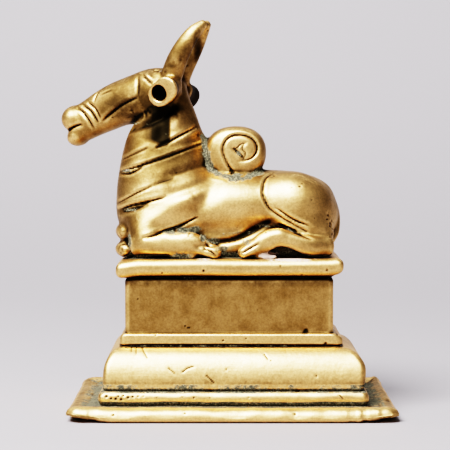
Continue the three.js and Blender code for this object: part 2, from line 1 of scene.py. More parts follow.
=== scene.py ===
"""A small cast brass nandi, a humped bull lying on a slab above a moulded plinth.

Sizes below are millimetres unless a name says otherwise; each mesh is brought to metres when it is finished.
The bull is drawn with its own origin in the middle of the slab's top.
"""
import math

import bmesh
import bpy
import numpy as np
from mathutils import Matrix, Vector, noise
from mathutils.bvhtree import BVHTree


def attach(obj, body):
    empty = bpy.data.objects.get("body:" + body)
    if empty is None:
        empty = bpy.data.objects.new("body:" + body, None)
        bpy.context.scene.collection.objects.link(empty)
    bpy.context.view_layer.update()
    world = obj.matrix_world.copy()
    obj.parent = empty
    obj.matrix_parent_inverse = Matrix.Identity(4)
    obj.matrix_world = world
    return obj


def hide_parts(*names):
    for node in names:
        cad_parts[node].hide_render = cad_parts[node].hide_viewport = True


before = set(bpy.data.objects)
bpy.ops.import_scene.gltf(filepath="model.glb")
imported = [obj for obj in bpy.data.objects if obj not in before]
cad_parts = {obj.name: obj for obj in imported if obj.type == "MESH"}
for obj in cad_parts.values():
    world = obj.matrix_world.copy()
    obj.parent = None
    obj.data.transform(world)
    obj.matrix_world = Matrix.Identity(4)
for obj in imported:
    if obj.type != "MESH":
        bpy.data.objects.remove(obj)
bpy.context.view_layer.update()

# The plinth.
# A rectangular block of mouldings: a curled tray for a foot, a bead, a swelling quarter round, a flat band, a
# plain die and an overhanging slab. It is brass, cast in one with the bull, and its faces were filed by hand.
UPPER_SHIFT = -1.1
DIE_HALF_X = 27.31
DIE_HALF_Y = 14.38
SLAB_OVERHANG = 2.3
SLAB_EDGE_RADIUS = 1.9
FILLET_PROJECTION = 0.9
FILLET_EDGE = 0.75
GROOVE_DEPTH = 0.45
GROOVE_RISE = 0.25
QUIRK_DEPTH = 0.6
QUIRK_DROP = 0.5
OVOLO_PROJECTION = 5.7
OVOLO_REACH = FILLET_PROJECTION + OVOLO_PROJECTION
BEAD_RADIUS = 1.45
BEAD_HALF_HEIGHT = 1.9
BEAD_REACH = OVOLO_REACH + 1.2
RIM_OUT = 2.4
RIM_UP = 2.5
FLANGE_REACH = BEAD_REACH + 6.95
FLANGE_HALF_X = DIE_HALF_X + FLANGE_REACH
FLANGE_HALF_Y = DIE_HALF_Y + FLANGE_REACH
UNDERSIDE_RING = FLANGE_REACH - 13
CHANNEL_REACH = FLANGE_REACH - 4.1
CORNER_RADIUS = 1.4
FOOT_CORNER_RADIUS = 3.4
FOOT_CORNER_POWER = 5.4

RIM_TOP = 3.7
CHANNEL_FLOOR = 3.0
CHANNEL_BACK = 3.2
BEAD_MIDDLE = CHANNEL_BACK + BEAD_HALF_HEIGHT
OVOLO_FOOT = 7.6
OVOLO_TOP = 17.85
FILLET_FOOT = 18.45
DIE_FOOT = 21.45
DIE_TOP = 35.55
DIE_SHADE_FOOT = DIE_TOP - 3.2
SLAB_FOOT = 36.55
SLAB_TOP = 40.95
SLAB_DIRT_WIDTH = 3

# Mesh steps along the near, far and short sides.
NEAR_CUTS = 230
FAR_CUTS = 90
SIDE_CUTS = 62

# The tray's corners curl up off the table, its underside more than the crest of its rim.
CORNER_CURL = 2.1
CREST_CURL = 0.7
CURL_REACH = 11.0
CURL_POWER = 1.3

# How the filed faces waver: the length of slow, quick and small waves, and their height on foot and faces.
SLOW_WAVE, QUICK_WAVE, SMALL_WAVE = 16.0, 5.0, 1.8
FOOT_WAVES = (0.12, 0.10, 0.04)
FACE_WAVES = (0.10, 0.02, 0.012)
SLAB_WAVE = 0.12
FOOT_FRONT_WAVE = 0.12
FOOT_FRONT_TRIM = 0.15

# How the shape departs from a square block: longer ends, a lower rim at the sides, a drooping slab.
FOOT_LEFT_EXTRA = 0.9
FOOT_RIGHT_EXTRA = 0.35
SIDE_RIM_DROP = 0.5
SIDE_DIRT = 0.5
SLAB_END_TRIM = 0.3
SLAB_LEFT_DROOP = 0.75
SLAB_RIGHT_RISE = 0.35
OVOLO_LEFT_FULLNESS = 0.5
OVOLO_RIGHT_FULLNESS = 1.6
LIP_RISE = 0.75
LIP_LEAN = 0.35


def arc(reach, height, out, up, start, end, steps):
    """Steps along part of an ellipse, each a reach beyond the die and a height; the angles are degrees."""
    for step in range(steps + 1):
        angle = math.radians(start + (end - start) * step / steps)
        yield reach + out * math.cos(angle), height + up * math.sin(angle)


def line(start, end, steps):
    """Steps from one reach and height to another, without the first."""
    for step in range(1, steps + 1):
        share = step / steps
        yield start[0] + (end[0] - start[0]) * share, start[1] + (end[1] - start[1]) * share


def plinth_rows():
    """The plinth's profile from the middle of its underside to the middle of the slab, as rows of
    [reach, height, corner lift, how much dirt the place holds, how dark its crease and its painted shade make
    it]."""
    rows = []

    def take(points, lift=0.0, dirt=0.0, crease_and_shade=0.0):
        rows.extend([reach, height, lift, dirt, crease_and_shade] for reach, height in points)

    rim_axis, rim_middle = FLANGE_REACH - RIM_OUT, RIM_TOP - RIM_UP
    channel = (CHANNEL_REACH, CHANNEL_FLOOR)
    take(line((UNDERSIDE_RING, 0), (rim_axis + 0.9, 0), 7), CORNER_CURL)
    take(arc(rim_axis, rim_middle, RIM_OUT, rim_middle, -55, -5, 8), CORNER_CURL)
    take(arc(rim_axis, rim_middle, RIM_OUT, RIM_UP, 0, 104, 20), CREST_CURL)
    take(line((rim_axis - 0.7, RIM_TOP - 0.1), channel, 3), CREST_CURL, 0.4, 0.3)
    take(line(channel, (BEAD_REACH - 0.2, CHANNEL_BACK), 8), 0, 0.8)

    # The bead, with dirt packed under it and in the quirk above it.
    bead = (BEAD_REACH - BEAD_RADIUS, BEAD_MIDDLE, BEAD_RADIUS, BEAD_HALF_HEIGHT)
    quirk = (OVOLO_REACH - QUIRK_DEPTH, OVOLO_FOOT - QUIRK_DROP)
    take(arc(*bead, -72, -20, 7), 0, 0.75, 0.45)
    take(arc(*bead, -14, 52, 11))
    take(arc(*bead, 58, 78, 3), 0, 0.55, 0.3)
    take(line((BEAD_REACH - 1.2, OVOLO_FOOT - 0.7), quirk, 2), 0, 0.75, 0.45)
    take(line(quirk, (OVOLO_REACH, OVOLO_FOOT), 2), 0, 0.6, 0.7)

    # The quarter round, with painted shade that darkens it towards its foot.
    ovolo = (FILLET_PROJECTION, OVOLO_FOOT, OVOLO_PROJECTION, OVOLO_TOP - OVOLO_FOOT)
    take(arc(*ovolo, 2, 6, 2), 0, 0.45, 0.3)
    for start, crease_and_shade in ((8, 0.46), (12, 0.4), (16, 0.33), (20, 0.26), (24, 0.2), (28, 0.14), (32, 0.08)):
        take(arc(*ovolo, start, start + 2, 1), 0, 0, crease_and_shade)
    take(arc(*ovolo, 36, 89, 22))

    # The flat band above a thin groove.
    groove = (FILLET_PROJECTION - GROOVE_DEPTH, OVOLO_TOP + GROOVE_RISE)
    band_foot = (FILLET_PROJECTION, FILLET_FOOT + GROOVE_RISE)
    band_edge = (FILLET_PROJECTION - FILLET_EDGE, DIE_FOOT - FILLET_EDGE)
    take(line((FILLET_PROJECTION, OVOLO_TOP), groove, 1), 0, 0.1, 0.9)
    take(line(groove, band_foot, 2), 0, 0, 0.4)
    take(line(band_foot, (FILLET_PROJECTION - 0.05, band_edge[1]), 7))
    take(arc(*band_edge, 0.7, 0.7, 10, 90, 6))
    take(line((band_edge[0], DIE_FOOT - 0.05), (0, DIE_FOOT), 1), 0, 0.1, 0.9)

    # The die, darker under the slab.
    take(line((0, DIE_FOOT), (0, DIE_SHADE_FOOT), 23))
    for step, crease_and_shade in enumerate((0.15, 0.3, 0.42, 0.52, 0.6)):
        take(line((0, DIE_SHADE_FOOT + 0.56 * step), (0, DIE_TOP - 2.7 + 0.56 * step), 1), 0, 0, crease_and_shade)
    take(line((0, DIE_TOP - 0.2), (-0.45, DIE_TOP + 0.5), 2), 0, 0.15, 1.0)

    # The slab, its edge rounded and its top dirty towards the bull.
    edge = SLAB_OVERHANG - SLAB_EDGE_RADIUS
    round_edge = (SLAB_EDGE_RADIUS, SLAB_EDGE_RADIUS)
    take(line((-0.45, DIE_TOP + 0.5), (edge, SLAB_FOOT), 3), 0, 0.1, 0.7)
    take(arc(edge, SLAB_FOOT + SLAB_EDGE_RADIUS, *round_edge, -80, 0, 8))
    take(arc(edge, SLAB_TOP - SLAB_EDGE_RADIUS, *round_edge, 0, 90, 9))
    take(line((edge, SLAB_TOP), (edge - SLAB_DIRT_WIDTH, SLAB_TOP), 7), 0, 0.25)
    take(line((edge - SLAB_DIRT_WIDTH, SLAB_TOP), (-DIE_HALF_Y + 0.6, SLAB_TOP), 10), 0, 0.5)
    return rows


def centre_at(reach):
    """The upper steps sit a little off the middle of the foot; the quarter round takes up the difference."""
    return UPPER_SHIFT * min(max((OVOLO_REACH - reach) / OVOLO_PROJECTION, 0.0), 1.0)


def raised(bm, face, first):
    """Extrudes a face and gives the new one; the old one goes, unless it is the form's own first end."""
    made = bmesh.ops.extrude_face_region(bm, geom=[face])["geom"]
    if not first:
        bmesh.ops.delete(bm, geom=[face], context="FACES_ONLY")
    return next(item for item in made if isinstance(item, bmesh.types.BMFace))


def plinth_blank():
    """The foot's underside is one plate with round corners, raised row by row into the mouldings."""
    rows = plinth_rows()
    bm = bmesh.new()
    bmesh.ops.create_grid(bm, x_segments=1, y_segments=1, size=1.0)
    first = rows[0]
    bmesh.ops.scale(bm, vec=(DIE_HALF_X + first[0], DIE_HALF_Y + first[0], 1), verts=bm.verts)
    bmesh.ops.bevel(bm, geom=bm.verts[:], affect="VERTICES", offset=CORNER_RADIUS, offset_type="OFFSET",
                    segments=7, profile=0.5, material=-1)
    for edge in [e for e in bm.edges if e.calc_length() > 3]:
        middle = (edge.verts[0].co + edge.verts[1].co) / 2
        cuts = SIDE_CUTS if abs(middle.y) < 1 else NEAR_CUTS if middle.y < 0 else FAR_CUTS
        bmesh.ops.subdivide_edges(bm, edges=[edge], cuts=cuts)
    dirt, lift, crease_and_shade = (bm.verts.layers.float.new(name) for name in ("dirt", "lift", "crease_and_shade"))
    face = bm.faces[:][0]
    for vert in bm.verts:
        vert.co.x += centre_at(first[0])
        vert.co.z = first[1]
    for before, row in zip(rows, rows[1:]):
        face = raised(bm, face, before is first)
        stretch_x = (DIE_HALF_X + row[0]) / (DIE_HALF_X + before[0])
        stretch_y = (DIE_HALF_Y + row[0]) / (DIE_HALF_Y + before[0])
        for vert in face.verts:
            vert.co.x = (vert.co.x - centre_at(before[0])) * stretch_x + centre_at(row[0])
            vert.co.y *= stretch_y
            vert.co.z = row[1]
            vert[lift], vert[dirt], vert[crease_and_shade] = row[2:]
    bmesh.ops.recalc_face_normals(bm, faces=bm.faces)
    return bm


def ramp(values, low, high):
    """0 below low, 1 above high and a smooth rise between; low may be the larger."""
    share = np.clip((values - low) / (high - low), 0, 1)
    return share * share * (3 - 2 * share)


def waver(points, size, seed):
    """Slow, smooth noise from about -1 to 1 that changes over the given size."""
    offset = Vector((seed * 17.3, seed * 5.1, seed * 9.7))
    return np.array([noise.noise(Vector(p) / size + offset) for p in points]) * 1.6


def smoothed(stations, steps):
    """Stations on a smooth curve through the given ones, with so many steps from each to the next."""
    rows = [np.array(s, float) for s in stations]
    rows = [2 * rows[0] - rows[1], *rows, 2 * rows[-1] - rows[-2]]
    found = []
    for a, b, c, d in zip(rows, rows[1:], rows[2:], rows[3:]):
        for step in range(steps):
            t = step / steps
            found.append(0.5 * (2 * b + (c - a) * t + (2 * a - 5 * b + 4 * c - d) * t * t
                                + (3 * b - a - 3 * c + d) * t ** 3))
    found.append(rows[-2])
    return found


def nearest_on(line_points, places):
    """For each place, its signed distance from a smooth line, positive above it, and how far along it lies,
    0 to 1."""
    curve = np.array(smoothed([(*p,) for p in line_points], 10))
    a, b = curve[:-1], curve[1:]
    along = b - a
    offset = places[:, None, :] - a[None]
    t = np.clip((offset * along).sum(axis=2) / (along * along).sum(axis=1), 0, 1)
    gap = offset - t[..., None] * along
    distance = np.linalg.norm(gap, axis=2)
    nearest = distance.argmin(axis=1)
    rows = np.arange(len(places))
    turn = along[nearest, 0] * gap[rows, nearest, 1] - along[nearest, 1] * gap[rows, nearest, 0]
    signed = np.where(turn >= 0, 1, -1) * distance[rows, nearest]
    return signed, (nearest + t[rows, nearest]) / len(a)


# Casting pits and nicks on the front, each its x, its height, its radius and its depth.
PITS = [
    (-32.8, 5.9, 0.40, 0.30), (-31.6, 5.4, 0.36, 0.26), (-30.4, 5.3, 0.40, 0.30),
    (-29.0, 5.2, 0.38, 0.26), (-29.7, 5.9, 0.30, 0.22), (-28.4, 6.1, 0.32, 0.22),
    (-27.2, 5.6, 0.34, 0.25), (-26.0, 5.8, 0.30, 0.20), (-24.6, 5.9, 0.24, 0.20),
    (-23.2, 5.9, 0.20, 0.15), (-19.8, 5.6, 0.18, 0.14), (-13.2, 5.7, 0.2, 0.15), (-10.2, 5.6, 0.25, 0.2),
    (-6.1, 5.5, 0.2, 0.15), (4.0, 5.6, 0.22, 0.15), (19.0, 22.0, 0.75, 0.3), (-2.7, 19.6, 0.3, 0.2),
    (24.1, 18.9, 0.4, 0.2), (-7.8, 38.0, 0.35, 0.25), (24.3, 38.2, 0.3, 0.2), (27.2, 21.2, 0.4, 0.3),
    (-25.0, 30.6, 0.25, 0.15), (6.3, 27.4, 0.25, 0.15), (13.5, 31.2, 0.22, 0.12),
    (-1.9, 12.6, 0.25, 0.12), (9.7, 14.9, 0.22, 0.12), (21.4, 11.0, 0.3, 0.15), (-18.6, 37.4, 0.25, 0.15),
    (12.2, 39.2, 0.25, 0.15), (-20.3, 21.0, 0.22, 0.15), (3.3, 20.2, 0.24, 0.15), (17.8, 36.9, 0.25, 0.2),
    (-30.6, 2.2, 0.35, 0.2), (-12.4, 2.6, 0.3, 0.15), (15.6, 2.4, 0.35, 0.2),
]
# A row of small ones runs along the bead, close under the quarter round.
PITS += [(place, 6.85, 0.22, 0.14) for place in np.arange(-28.8, -12.2, 0.95)]
SCRATCHES = [
    [(-26.6, 18.0), (-26.6, 17.0)], [(-25.4, 18.2), (-25.3, 16.4)],
    [(-24.0, 18.0), (-23.4, 17.0), (-22.4, 15.5)], [(-16.8, 13.0), (-15.2, 11.6)],
    [(-13.1, 12.1), (-11.8, 13.0), (-10.4, 13.4)], [(-7.0, 11.2), (-5.0, 9.2)],
    [(-12.8, 23.3), (-11.5, 22.8)], [(27.4, 6.2), (28.2, 5.4)], [(8.0, 16.4), (8.9, 15.2)],
]
SCRATCH_WIDTH = 0.42
SCRATCH_DEPTH = 0.12
SCRATCH_DARKNESS = 0.95
# Bites out of the foot's front rim: where each is, half its length and its depth.
RIM_BITES = [(30.2, 1.6, 0.12), (33.4, 1.1, 0.22), (38.6, 1.9, 0.25), (-36.0, 1.6, 0.15)]


def round_tray_corners(x, y):
    """Makes the tray's corners rounder than those of the steps above."""
    out_x = abs(x) - FLANGE_HALF_X + FOOT_CORNER_RADIUS
    out_y = abs(y) - FLANGE_HALF_Y + FOOT_CORNER_RADIUS
    corner = (out_x > 0) & (out_y > 0)
    wide, deep, power = out_x[corner], out_y[corner], FOOT_CORNER_POWER
    rounder = (wide ** power + deep ** power) ** (1 / power) / np.hypot(wide, deep)
    x[corner] = np.sign(x[corner]) * (FLANGE_HALF_X - FOOT_CORNER_RADIUS + wide * rounder)
    y[corner] = np.sign(y[corner]) * (FLANGE_HALF_Y - FOOT_CORNER_RADIUS + deep * rounder)


def knock_rim(x, y, z):
    """Bends the tray's right-hand lip up behind a nick, and takes the bites out of its rim."""
    lip = ramp(x, 38.8, 41.0) * ramp(z, 2.2, 3.4) * ramp(z, 7.0, 5.5)
    z += lip * ramp(y, -12.0, -9.5) * LIP_RISE
    x -= lip * ramp(y, -12.0, -9.5) * LIP_LEAN
    for place, half_length, depth in RIM_BITES:
        bite = ramp(abs(x - place), half_length, half_length * 0.4) * ramp(y, -25.0, -28.0)
        y += bite * depth * 0.8
        z += bite * depth * ramp(z, 2.0, 0.3) - bite * depth * 0.3 * ramp(z, 2.0, 3.5)


def mark_front(x, y, z, marks_and_shade):
    """Sinks the pits and scratches into the front, and darkens them."""
    front = (y < -12) & (z > 1)
    for place, height, radius, depth in PITS:
        near = front & (np.hypot(x - place, z - height) < radius * 3)
        dent = np.exp(-((x[near] - place) ** 2 + (z[near] - height) ** 2) / radius ** 2)
        y[near] += dent * depth
        marks_and_shade[near] = np.maximum(marks_and_shade[near], dent)
    for scratch in SCRATCHES:
        xs, zs = zip(*scratch)
        near = front & (x > min(xs) - 1) & (x < max(xs) + 1) & (z > min(zs) - 1) & (z < max(zs) + 1)
        signed = nearest_on(scratch, np.stack([x[near], z[near]], axis=1))[0]
        dent = np.exp(-(signed / SCRATCH_WIDTH * 2) ** 2)
        y[near] += dent * SCRATCH_DEPTH
        marks_and_shade[near] = np.maximum(marks_and_shade[near], dent * SCRATCH_DARKNESS)


def plinth_points(bm):
    """The plinth's points with the waver and the knocks of the real one, and their dirt, and their marks with
    painted shade among them.
    """
    points = np.array([v.co[:] for v in bm.verts])
    layers = bm.verts.layers.float
    lift, dirt, marks_and_shade = (np.array([v[layers[name]] for v in bm.verts]) for name in ("lift", "dirt", "crease_and_shade"))
    x, y, z = points.T.copy()
    round_tray_corners(x, y)
    # On the short sides the tray's rim is lower, and its dirt thins out towards it.
    side = ramp((abs(x) - DIE_HALF_X) - (abs(y) - DIE_HALF_Y), 0.0, 3.0) * (z < CHANNEL_BACK + 0.6)
    marks_and_shade = np.maximum(marks_and_shade, side * SIDE_DIRT * ramp(abs(x), FLANGE_HALF_X, FLANGE_HALF_X - 1.5))
    dirt = np.maximum(dirt, side * SIDE_DIRT * ramp(abs(x), FLANGE_HALF_X - 1.6, FLANGE_HALF_X - 3.4))
    z -= side * ramp(z, 2.4, RIM_TOP) * SIDE_RIM_DROP
    dirt = dirt * (1 + 0.4 * waver(points, 4.0, 7) + 0.35 * waver(points, 1.1, 10))
    near_x = np.clip(1 - (FLANGE_HALF_X - abs(x)) / CURL_REACH, 0, 1)
    near_y = np.clip(1 - (FLANGE_HALF_Y - abs(y)) / CURL_REACH, 0, 1)
    z += lift * (near_x * near_y) ** CURL_POWER
    waves = [waver(points, size, seed) for seed, size in enumerate((SLOW_WAVE, QUICK_WAVE, SMALL_WAVE), 1)]
    slow, quick = waves[:2]
    foot = ramp(z, 9.0, 5.0) * ramp(z, 0.5, 2.0)
    z += foot * sum(height * wave for height, wave in zip(FOOT_WAVES, waves))
    y += np.sign(y) * foot * (FOOT_FRONT_WAVE * quick - FOOT_FRONT_TRIM)
    knock_rim(x, y, z)
    # The foot's plate is a little broader at its ends than along its sides.
    end_extra = np.where(x < 0, FOOT_LEFT_EXTRA, FOOT_RIGHT_EXTRA)
    x += np.sign(x) * ramp(abs(x), 37.0, 41.0) * ramp(z, 9.0, 6.0) * end_extra
    # The slab droops at its left end and rises a little at its right.
    slab = ramp(z, DIE_TOP - 0.5, SLAB_FOOT + 0.4)
    x -= ramp(x, -27.0, -30.5) * slab * SLAB_END_TRIM
    x -= ramp(x, 28.4, 30.0) * slab * SLAB_END_TRIM
    z -= slab * ramp(x, -24.0, -30.5) * SLAB_LEFT_DROOP
    z += slab * ramp(x, 24.0, 29.5) * SLAB_RIGHT_RISE
    z += slab * SLAB_WAVE * slow
    # The quarter round is fuller at its ends, above all at the right.
    full = ramp(z, OVOLO_FOOT, OVOLO_FOOT + 7) * ramp(z, DIE_FOOT, DIE_FOOT - 1.5)
    x += (ramp(x, 22.0, 28.0) * OVOLO_RIGHT_FULLNESS - ramp(x, -22.0, -28.0) * OVOLO_LEFT_FULLNESS) * full
    upper = ramp(z, OVOLO_FOOT, OVOLO_FOOT + 2)
    y += np.sign(y) * upper * sum(height * wave for height, wave in zip(FACE_WAVES, waves))
    x += np.sign(x) * upper * FACE_WAVES[0] * slow
    mark_front(x, y, z, marks_and_shade)
    return np.stack([x, y, z], axis=1), dirt, marks_and_shade


plinth_mesh = plinth_blank()
plinth_xyz, plinth_dirt, plinth_marks_and_shade = plinth_points(plinth_mesh)
for vert, place in zip(plinth_mesh.verts, plinth_xyz):
    vert.co = place
plinth = bpy.data.meshes.new("plinth")
plinth_mesh.to_mesh(plinth)
plinth_mesh.free()

# The bull.
# It lies with its legs folded and its head raised and turned a little away. It was modelled in wax as simple
# round forms run together, cast with the plinth, and then chased with a graver on its folds, face and hump.
FIGURE_ORIGIN = Vector((UPPER_SHIFT, 0, SLAB_TOP))
ACROSS_Y = Vector((0, 1, 0))
ACROSS_X = Vector((1, 0, 0))

# Each limb follows stations: x, y, z, half width and half depth.
BARREL = [
    (-20, 0, 12.4, 10.4, 9.4), (-14, 0, 13.2, 11.8, 10.1), (-6, 0, 13.4, 12.8, 10.2),
    (2, 0, 13.9, 13.0, 9.7), (9, 0, 14.2, 12.4, 8.9), (16, 0, 13.4, 12.2, 9.4), (22, 0, 11.3, 11.6, 9.5),
    (25.7, 0, 9.7, 9.8, 7.2), (27.8, 0, 9.0, 6.8, 5.0),
]
BELLY = [
    (-22, 0, 3.2, 10.5, 5.4), (-8, 0, 3.2, 11.4, 5.4), (8, 0, 3.6, 11.0, 5.8), (22, 0, 3.4, 10.2, 5.6),
]
NECK = [
    (-16.4, 0, 3, 11.2, 10.6), (-16.9, 0, 7, 12.0, 11.2), (-17.2, 0, 10.5, 12.2, 13.2),
    (-17.2, 0, 16, 11.6, 13.3), (-17.3, 0, 22.5, 10.2, 12.6), (-17.4, 0, 28, 8.7, 11.2),
    (-16.4, 0, 33.5, 7.4, 9.8), (-15.9, 0, 38, 6.5, 7.4), (-16.2, 0.2, 42, 6.0, 5.6),
    (-16.4, 0.4, 46, 5.6, 5.3),
]
UPPER_FORELEG = [(-12, 6.6, 12.6, 6.0, 6.6), (-18.5, 7.8, 9.4, 5.2, 5.6), (-24.2, 8.6, 6.0, 4.2, 4.4)]
FORELEG = [
    (-24.0, 10.2, 3.8, 2.9, 3.4), (-20.6, 12.0, 3.7, 2.7, 3.1), (-16, 13.0, 3.8, 2.6, 3.1),
    (-12.5, 13.3, 4.0, 2.6, 3.1), (-9.5, 13.5, 3.9, 2.5, 2.9), (-6.6, 13.6, 2.8, 2.2, 2.1),
    (-3.8, 13.6, 1.7, 2.4, 1.8),
]
SHANK = [
    (12.6, 8.4, 11.4, 4.4, 3.0), (18, 8.9, 9.6, 4.7, 4.4), (22.8, 8.9, 7.4, 4.5, 4.4),
    (25.4, 8.8, 5.2, 3.6, 3.4),
]
HIND_LEG = [
    (25.6, 10.8, 3.1, 2.7, 2.9), (21.3, 12.7, 3.3, 2.5, 2.7), (16.3, 13.4, 4.9, 2.4, 2.2),
    (12.4, 13.6, 5.6, 2.4, 2.5), (9.4, 13.6, 4.5, 2.4, 2.7), (6.4, 13.7, 2.9, 2.1, 2.0),
    (3.6, 13.7, 1.6, 2.3, 1.5),
]
TAIL = [
    (22.5, 0, 20.2, 1.2, 1.0), (26.6, 0, 16.6, 1.2, 1.0), (28.9, -0.6, 11.5, 1.1, 0.9),
    (28.7, -2.4, 6.6, 1.2, 0.9), (26.8, -5.4, 4.2, 1.7, 1.3),
]

# The egg shapes: each its middle, its half sizes and how far it leans, in radians.
SHOULDER = ((-13.0, 4.6, 13.6), (12.0, 8.4, 9.6), 0.3)
HAUNCH = ((17.6, 5.6, 14.0), (10.5, 8.4, 8.7), -0.3)
KNEE = ((-21.9, 7.8, 5.0), (4.8, 6.8, 6.6))
# Metal that filled the notch behind the neck when it was cast.
WEB = ((-6.8, 0, 25.6), (3.4, 4.2, 6.6))
BELLS = [((-27.1, -3.2, 6.7), (3.3, 5.2, 2.6)), ((-27.2, -3.2, 1.9), (3.3, 5.2, 2.4))]
# Lumps of metal and dirt that were left under the near legs.
LUMPS = [
    ((-14.2, -13.6, 0.9), (1.5, 1.3, 1.1)), ((-12.4, -13.4, 0.4), (1.3, 1.3, 0.8)),
    ((-10.0, -13.8, 0.8), (1.4, 1.4, 1.3)), ((-11.7, -15.0, 5.6), (1.3, 0.7, 0.9)),
    ((8.6, -13.4, 0.5), (2.2, 1.3, 1.2)), ((11.2, -13.0, 0.3), (1.6, 1.3, 0.8)),
]

# The hump is a thick disc. Its shares say how far across it a station lies, and how wide it is there.
HUMP_X, HUMP_Z = 1.8, 27.65
HUMP_RADIUS_X, HUMP_RADIUS_Z, HUMP_HALF_THICKNESS = 8.15, 7.0, 6.7
HUMP_SHARES = [
    (-0.97, 0.62), (-0.86, 0.85), (-0.62, 0.96), (-0.3, 1.0), (0.3, 1.0), (0.62, 0.96), (0.86, 0.85),
    (0.97, 0.62),
]

# The head is drawn straight ahead and then turned on the neck.
HEAD_PIVOT = Vector((-16.65, 0.5, 0))
HEAD_TURN_DEGREES = 19
SKULL = [
    (-14, 0.5, 43.8, 5.6, 5.8), (-19.5, 0.5, 43.5, 6.3, 6.9), (-25, 0.5, 42.0, 6.2, 6.7),
    (-30, 0.5, 40.8, 5.3, 6.1), (-34.5, 0.5, 38.9, 4.7, 5.75), (-38.5, 0.5, 36.9, 4.3, 5.25),
    (-42, 0.5, 35.2, 4.1, 5.0), (-43.4, 0.5, 34.5, 3.9, 4.5),
]
NOSE = ((-43.4, 0.5, 36.8), (3.9, 4.7, 3.6), 0.5)
LOWER_LIP = ((-42.5, 0.5, 32.0), (3.2, 4.1, 2.7), 0.4)
HORN = [
    (-14.6, -3.0, 46.8, 2.6, 3.0), (-13.3, -3.4, 50.2, 2.5, 2.95), (-11.7, -3.9, 53.4, 2.35, 2.75),
    (-9.7, -3.8, 56.8, 2.1, 2.4), (-7.7, -2.8, 59.8, 1.75, 1.95), (-5.7, -1.2, 61.8, 1.3, 1.25),
]
EAR_BASE = Vector((-14.1, -3.0, 45.1))
EAR_RIM = Vector((-15.2, -10.4, 43.2))
EAR_RADIUS = 3.4
EAR_HOLE_RADIUS = 2.15
EAR_HOLE_DEPTH = 4.6
EAR_LOBE = 2.9
EAR_LOBE_DEGREES = 35
EAR_DROP = 0.6
FAR_EAR_LOBE = 1.0
FAR_EAR_DROP = (0.1, 0.0, -0.5)

# The angles of the rings that close a limb's dome, the size of the squares in the trunk's skin and in the
# whole bull's, and how often each is eased.
DOME_DEGREES = (20, 40, 60, 78)
TRUNK_VOXEL = 0.7
BULL_VOXEL = 0.37
TRUNK_EASING = 26
BULL_EASING = 5


def lofted(bm, sides, rings, place):
    """A closed form run through rings; place gives the point at an angle round a ring."""
    made = bmesh.ops.create_circle(bm, cap_ends=True, segments=sides, radius=1.0)["verts"]
    face = made[0].link_faces[0]
    angles = [math.atan2(v.co.y, v.co.x) for v in face.verts]
    for number, ring in enumerate(rings):
        if number:
            face = raised(bm, face, number == 1)
        for vert, angle in zip(face.verts, angles):
            vert.co = place(angle, *ring)
    return bm


def limb(bm, stations, across=ACROSS_Y, sides=40, steps=6, power=2.0, start_cap=0.0, end_cap=0.0):
    """A round or squarish form whose section changes along a curve, closed by a dome at each end."""
    rows = smoothed(stations, steps)
    centres = [Vector(row[:3]) for row in rows]
    tangents = [(b - a).normalized() for a, b in zip(centres[:1] + centres[:-1], centres[1:] + centres[-1:])]
    rings = [(c, t, row[3], row[4]) for c, t, row in zip(centres, tangents, rows)]
    for cap, end in ((start_cap, 0), (end_cap, -1)):
        centre, tangent, width, depth = rings[end]
        outward = -tangent if end == 0 else tangent
        for angle in DOME_DEGREES:
            rise, shrink = math.sin(math.radians(angle)), math.cos(math.radians(angle))
            ring = (centre + outward * cap * rise, tangent, width * shrink, depth * shrink)
            if cap and end == 0:
                rings.insert(0, ring)
            elif cap:
                rings.append(ring)

    def place(angle, centre, tangent, width, depth):
        wide = (across - tangent * across.dot(tangent)).normalized()
        u = math.copysign(abs(math.cos(angle)) ** (2 / power), math.cos(angle))
        v = math.copysign(abs(math.sin(angle)) ** (2 / power), math.sin(angle))
        return centre + wide * u * width + tangent.cross(wide) * v * depth

    return lofted(bm, sides, rings, place)


def ball(bm, centre, radii, lean=0):
    """An egg shape, leaned about the crosswise axis."""
    place = Matrix.Translation(centre) @ Matrix.Rotation(-lean, 4, "Y") @ Matrix.Diagonal((*radii, 1))
    bmesh.ops.create_uvsphere(bm, u_segments=40, v_segments=24, radius=1.0, matrix=place)
    return bm


def both_sides(make, *arguments, **options):
    """Makes a form on the far side and its mirror image on the near side."""
    for side in (1, -1):
        form = bmesh.new()
        make(form, *arguments, **options)
        bmesh.ops.scale(form, vec=(1, side, 1), verts=form.verts)
        yield form


def gathered(forms):
    """Several forms in one bmesh, each with its faces pointing out."""
    whole = bmesh.new()
    for form in forms:
        bmesh.ops.recalc_face_normals(form, faces=form.faces)
        part = bpy.data.meshes.new("part")
        form.to_mesh(part)
        form.free()
        whole.from_mesh(part)
        bpy.data.meshes.remove(part)
    return whole


def fused(bm, voxel):
    """One skin round all the forms of a bmesh, as a mesh of even squares."""
    mesh = bpy.data.meshes.new("fused")
    bm.to_mesh(mesh)
    bm.free()
    holder = bpy.data.objects.new("fused", mesh)
    bpy.context.scene.collection.objects.link(holder)
    remesh = holder.modifiers.new("fuse", "REMESH")
    remesh.mode = "VOXEL"
    remesh.voxel_size = voxel
    skin = bpy.data.meshes.new_from_object(holder.evaluated_get(bpy.context.evaluated_depsgraph_get()))
    bpy.data.objects.remove(holder)
    bpy.data.meshes.remove(mesh)
    return skin


def points_of(mesh, kind="co"):
    """A mesh's vertex places, or its normals, as rows of three."""
    found = np.empty(len(mesh.vertices) * 3)
    mesh.vertices.foreach_get(kind, found)
    return found.reshape(-1, 3)


def edges_of(mesh):
    """A mesh's edges, as rows of two vertex numbers."""
    found = np.empty(len(mesh.edges) * 2, int)
    mesh.edges.foreach_get("vertices", found)
    return found.reshape(-1, 2)


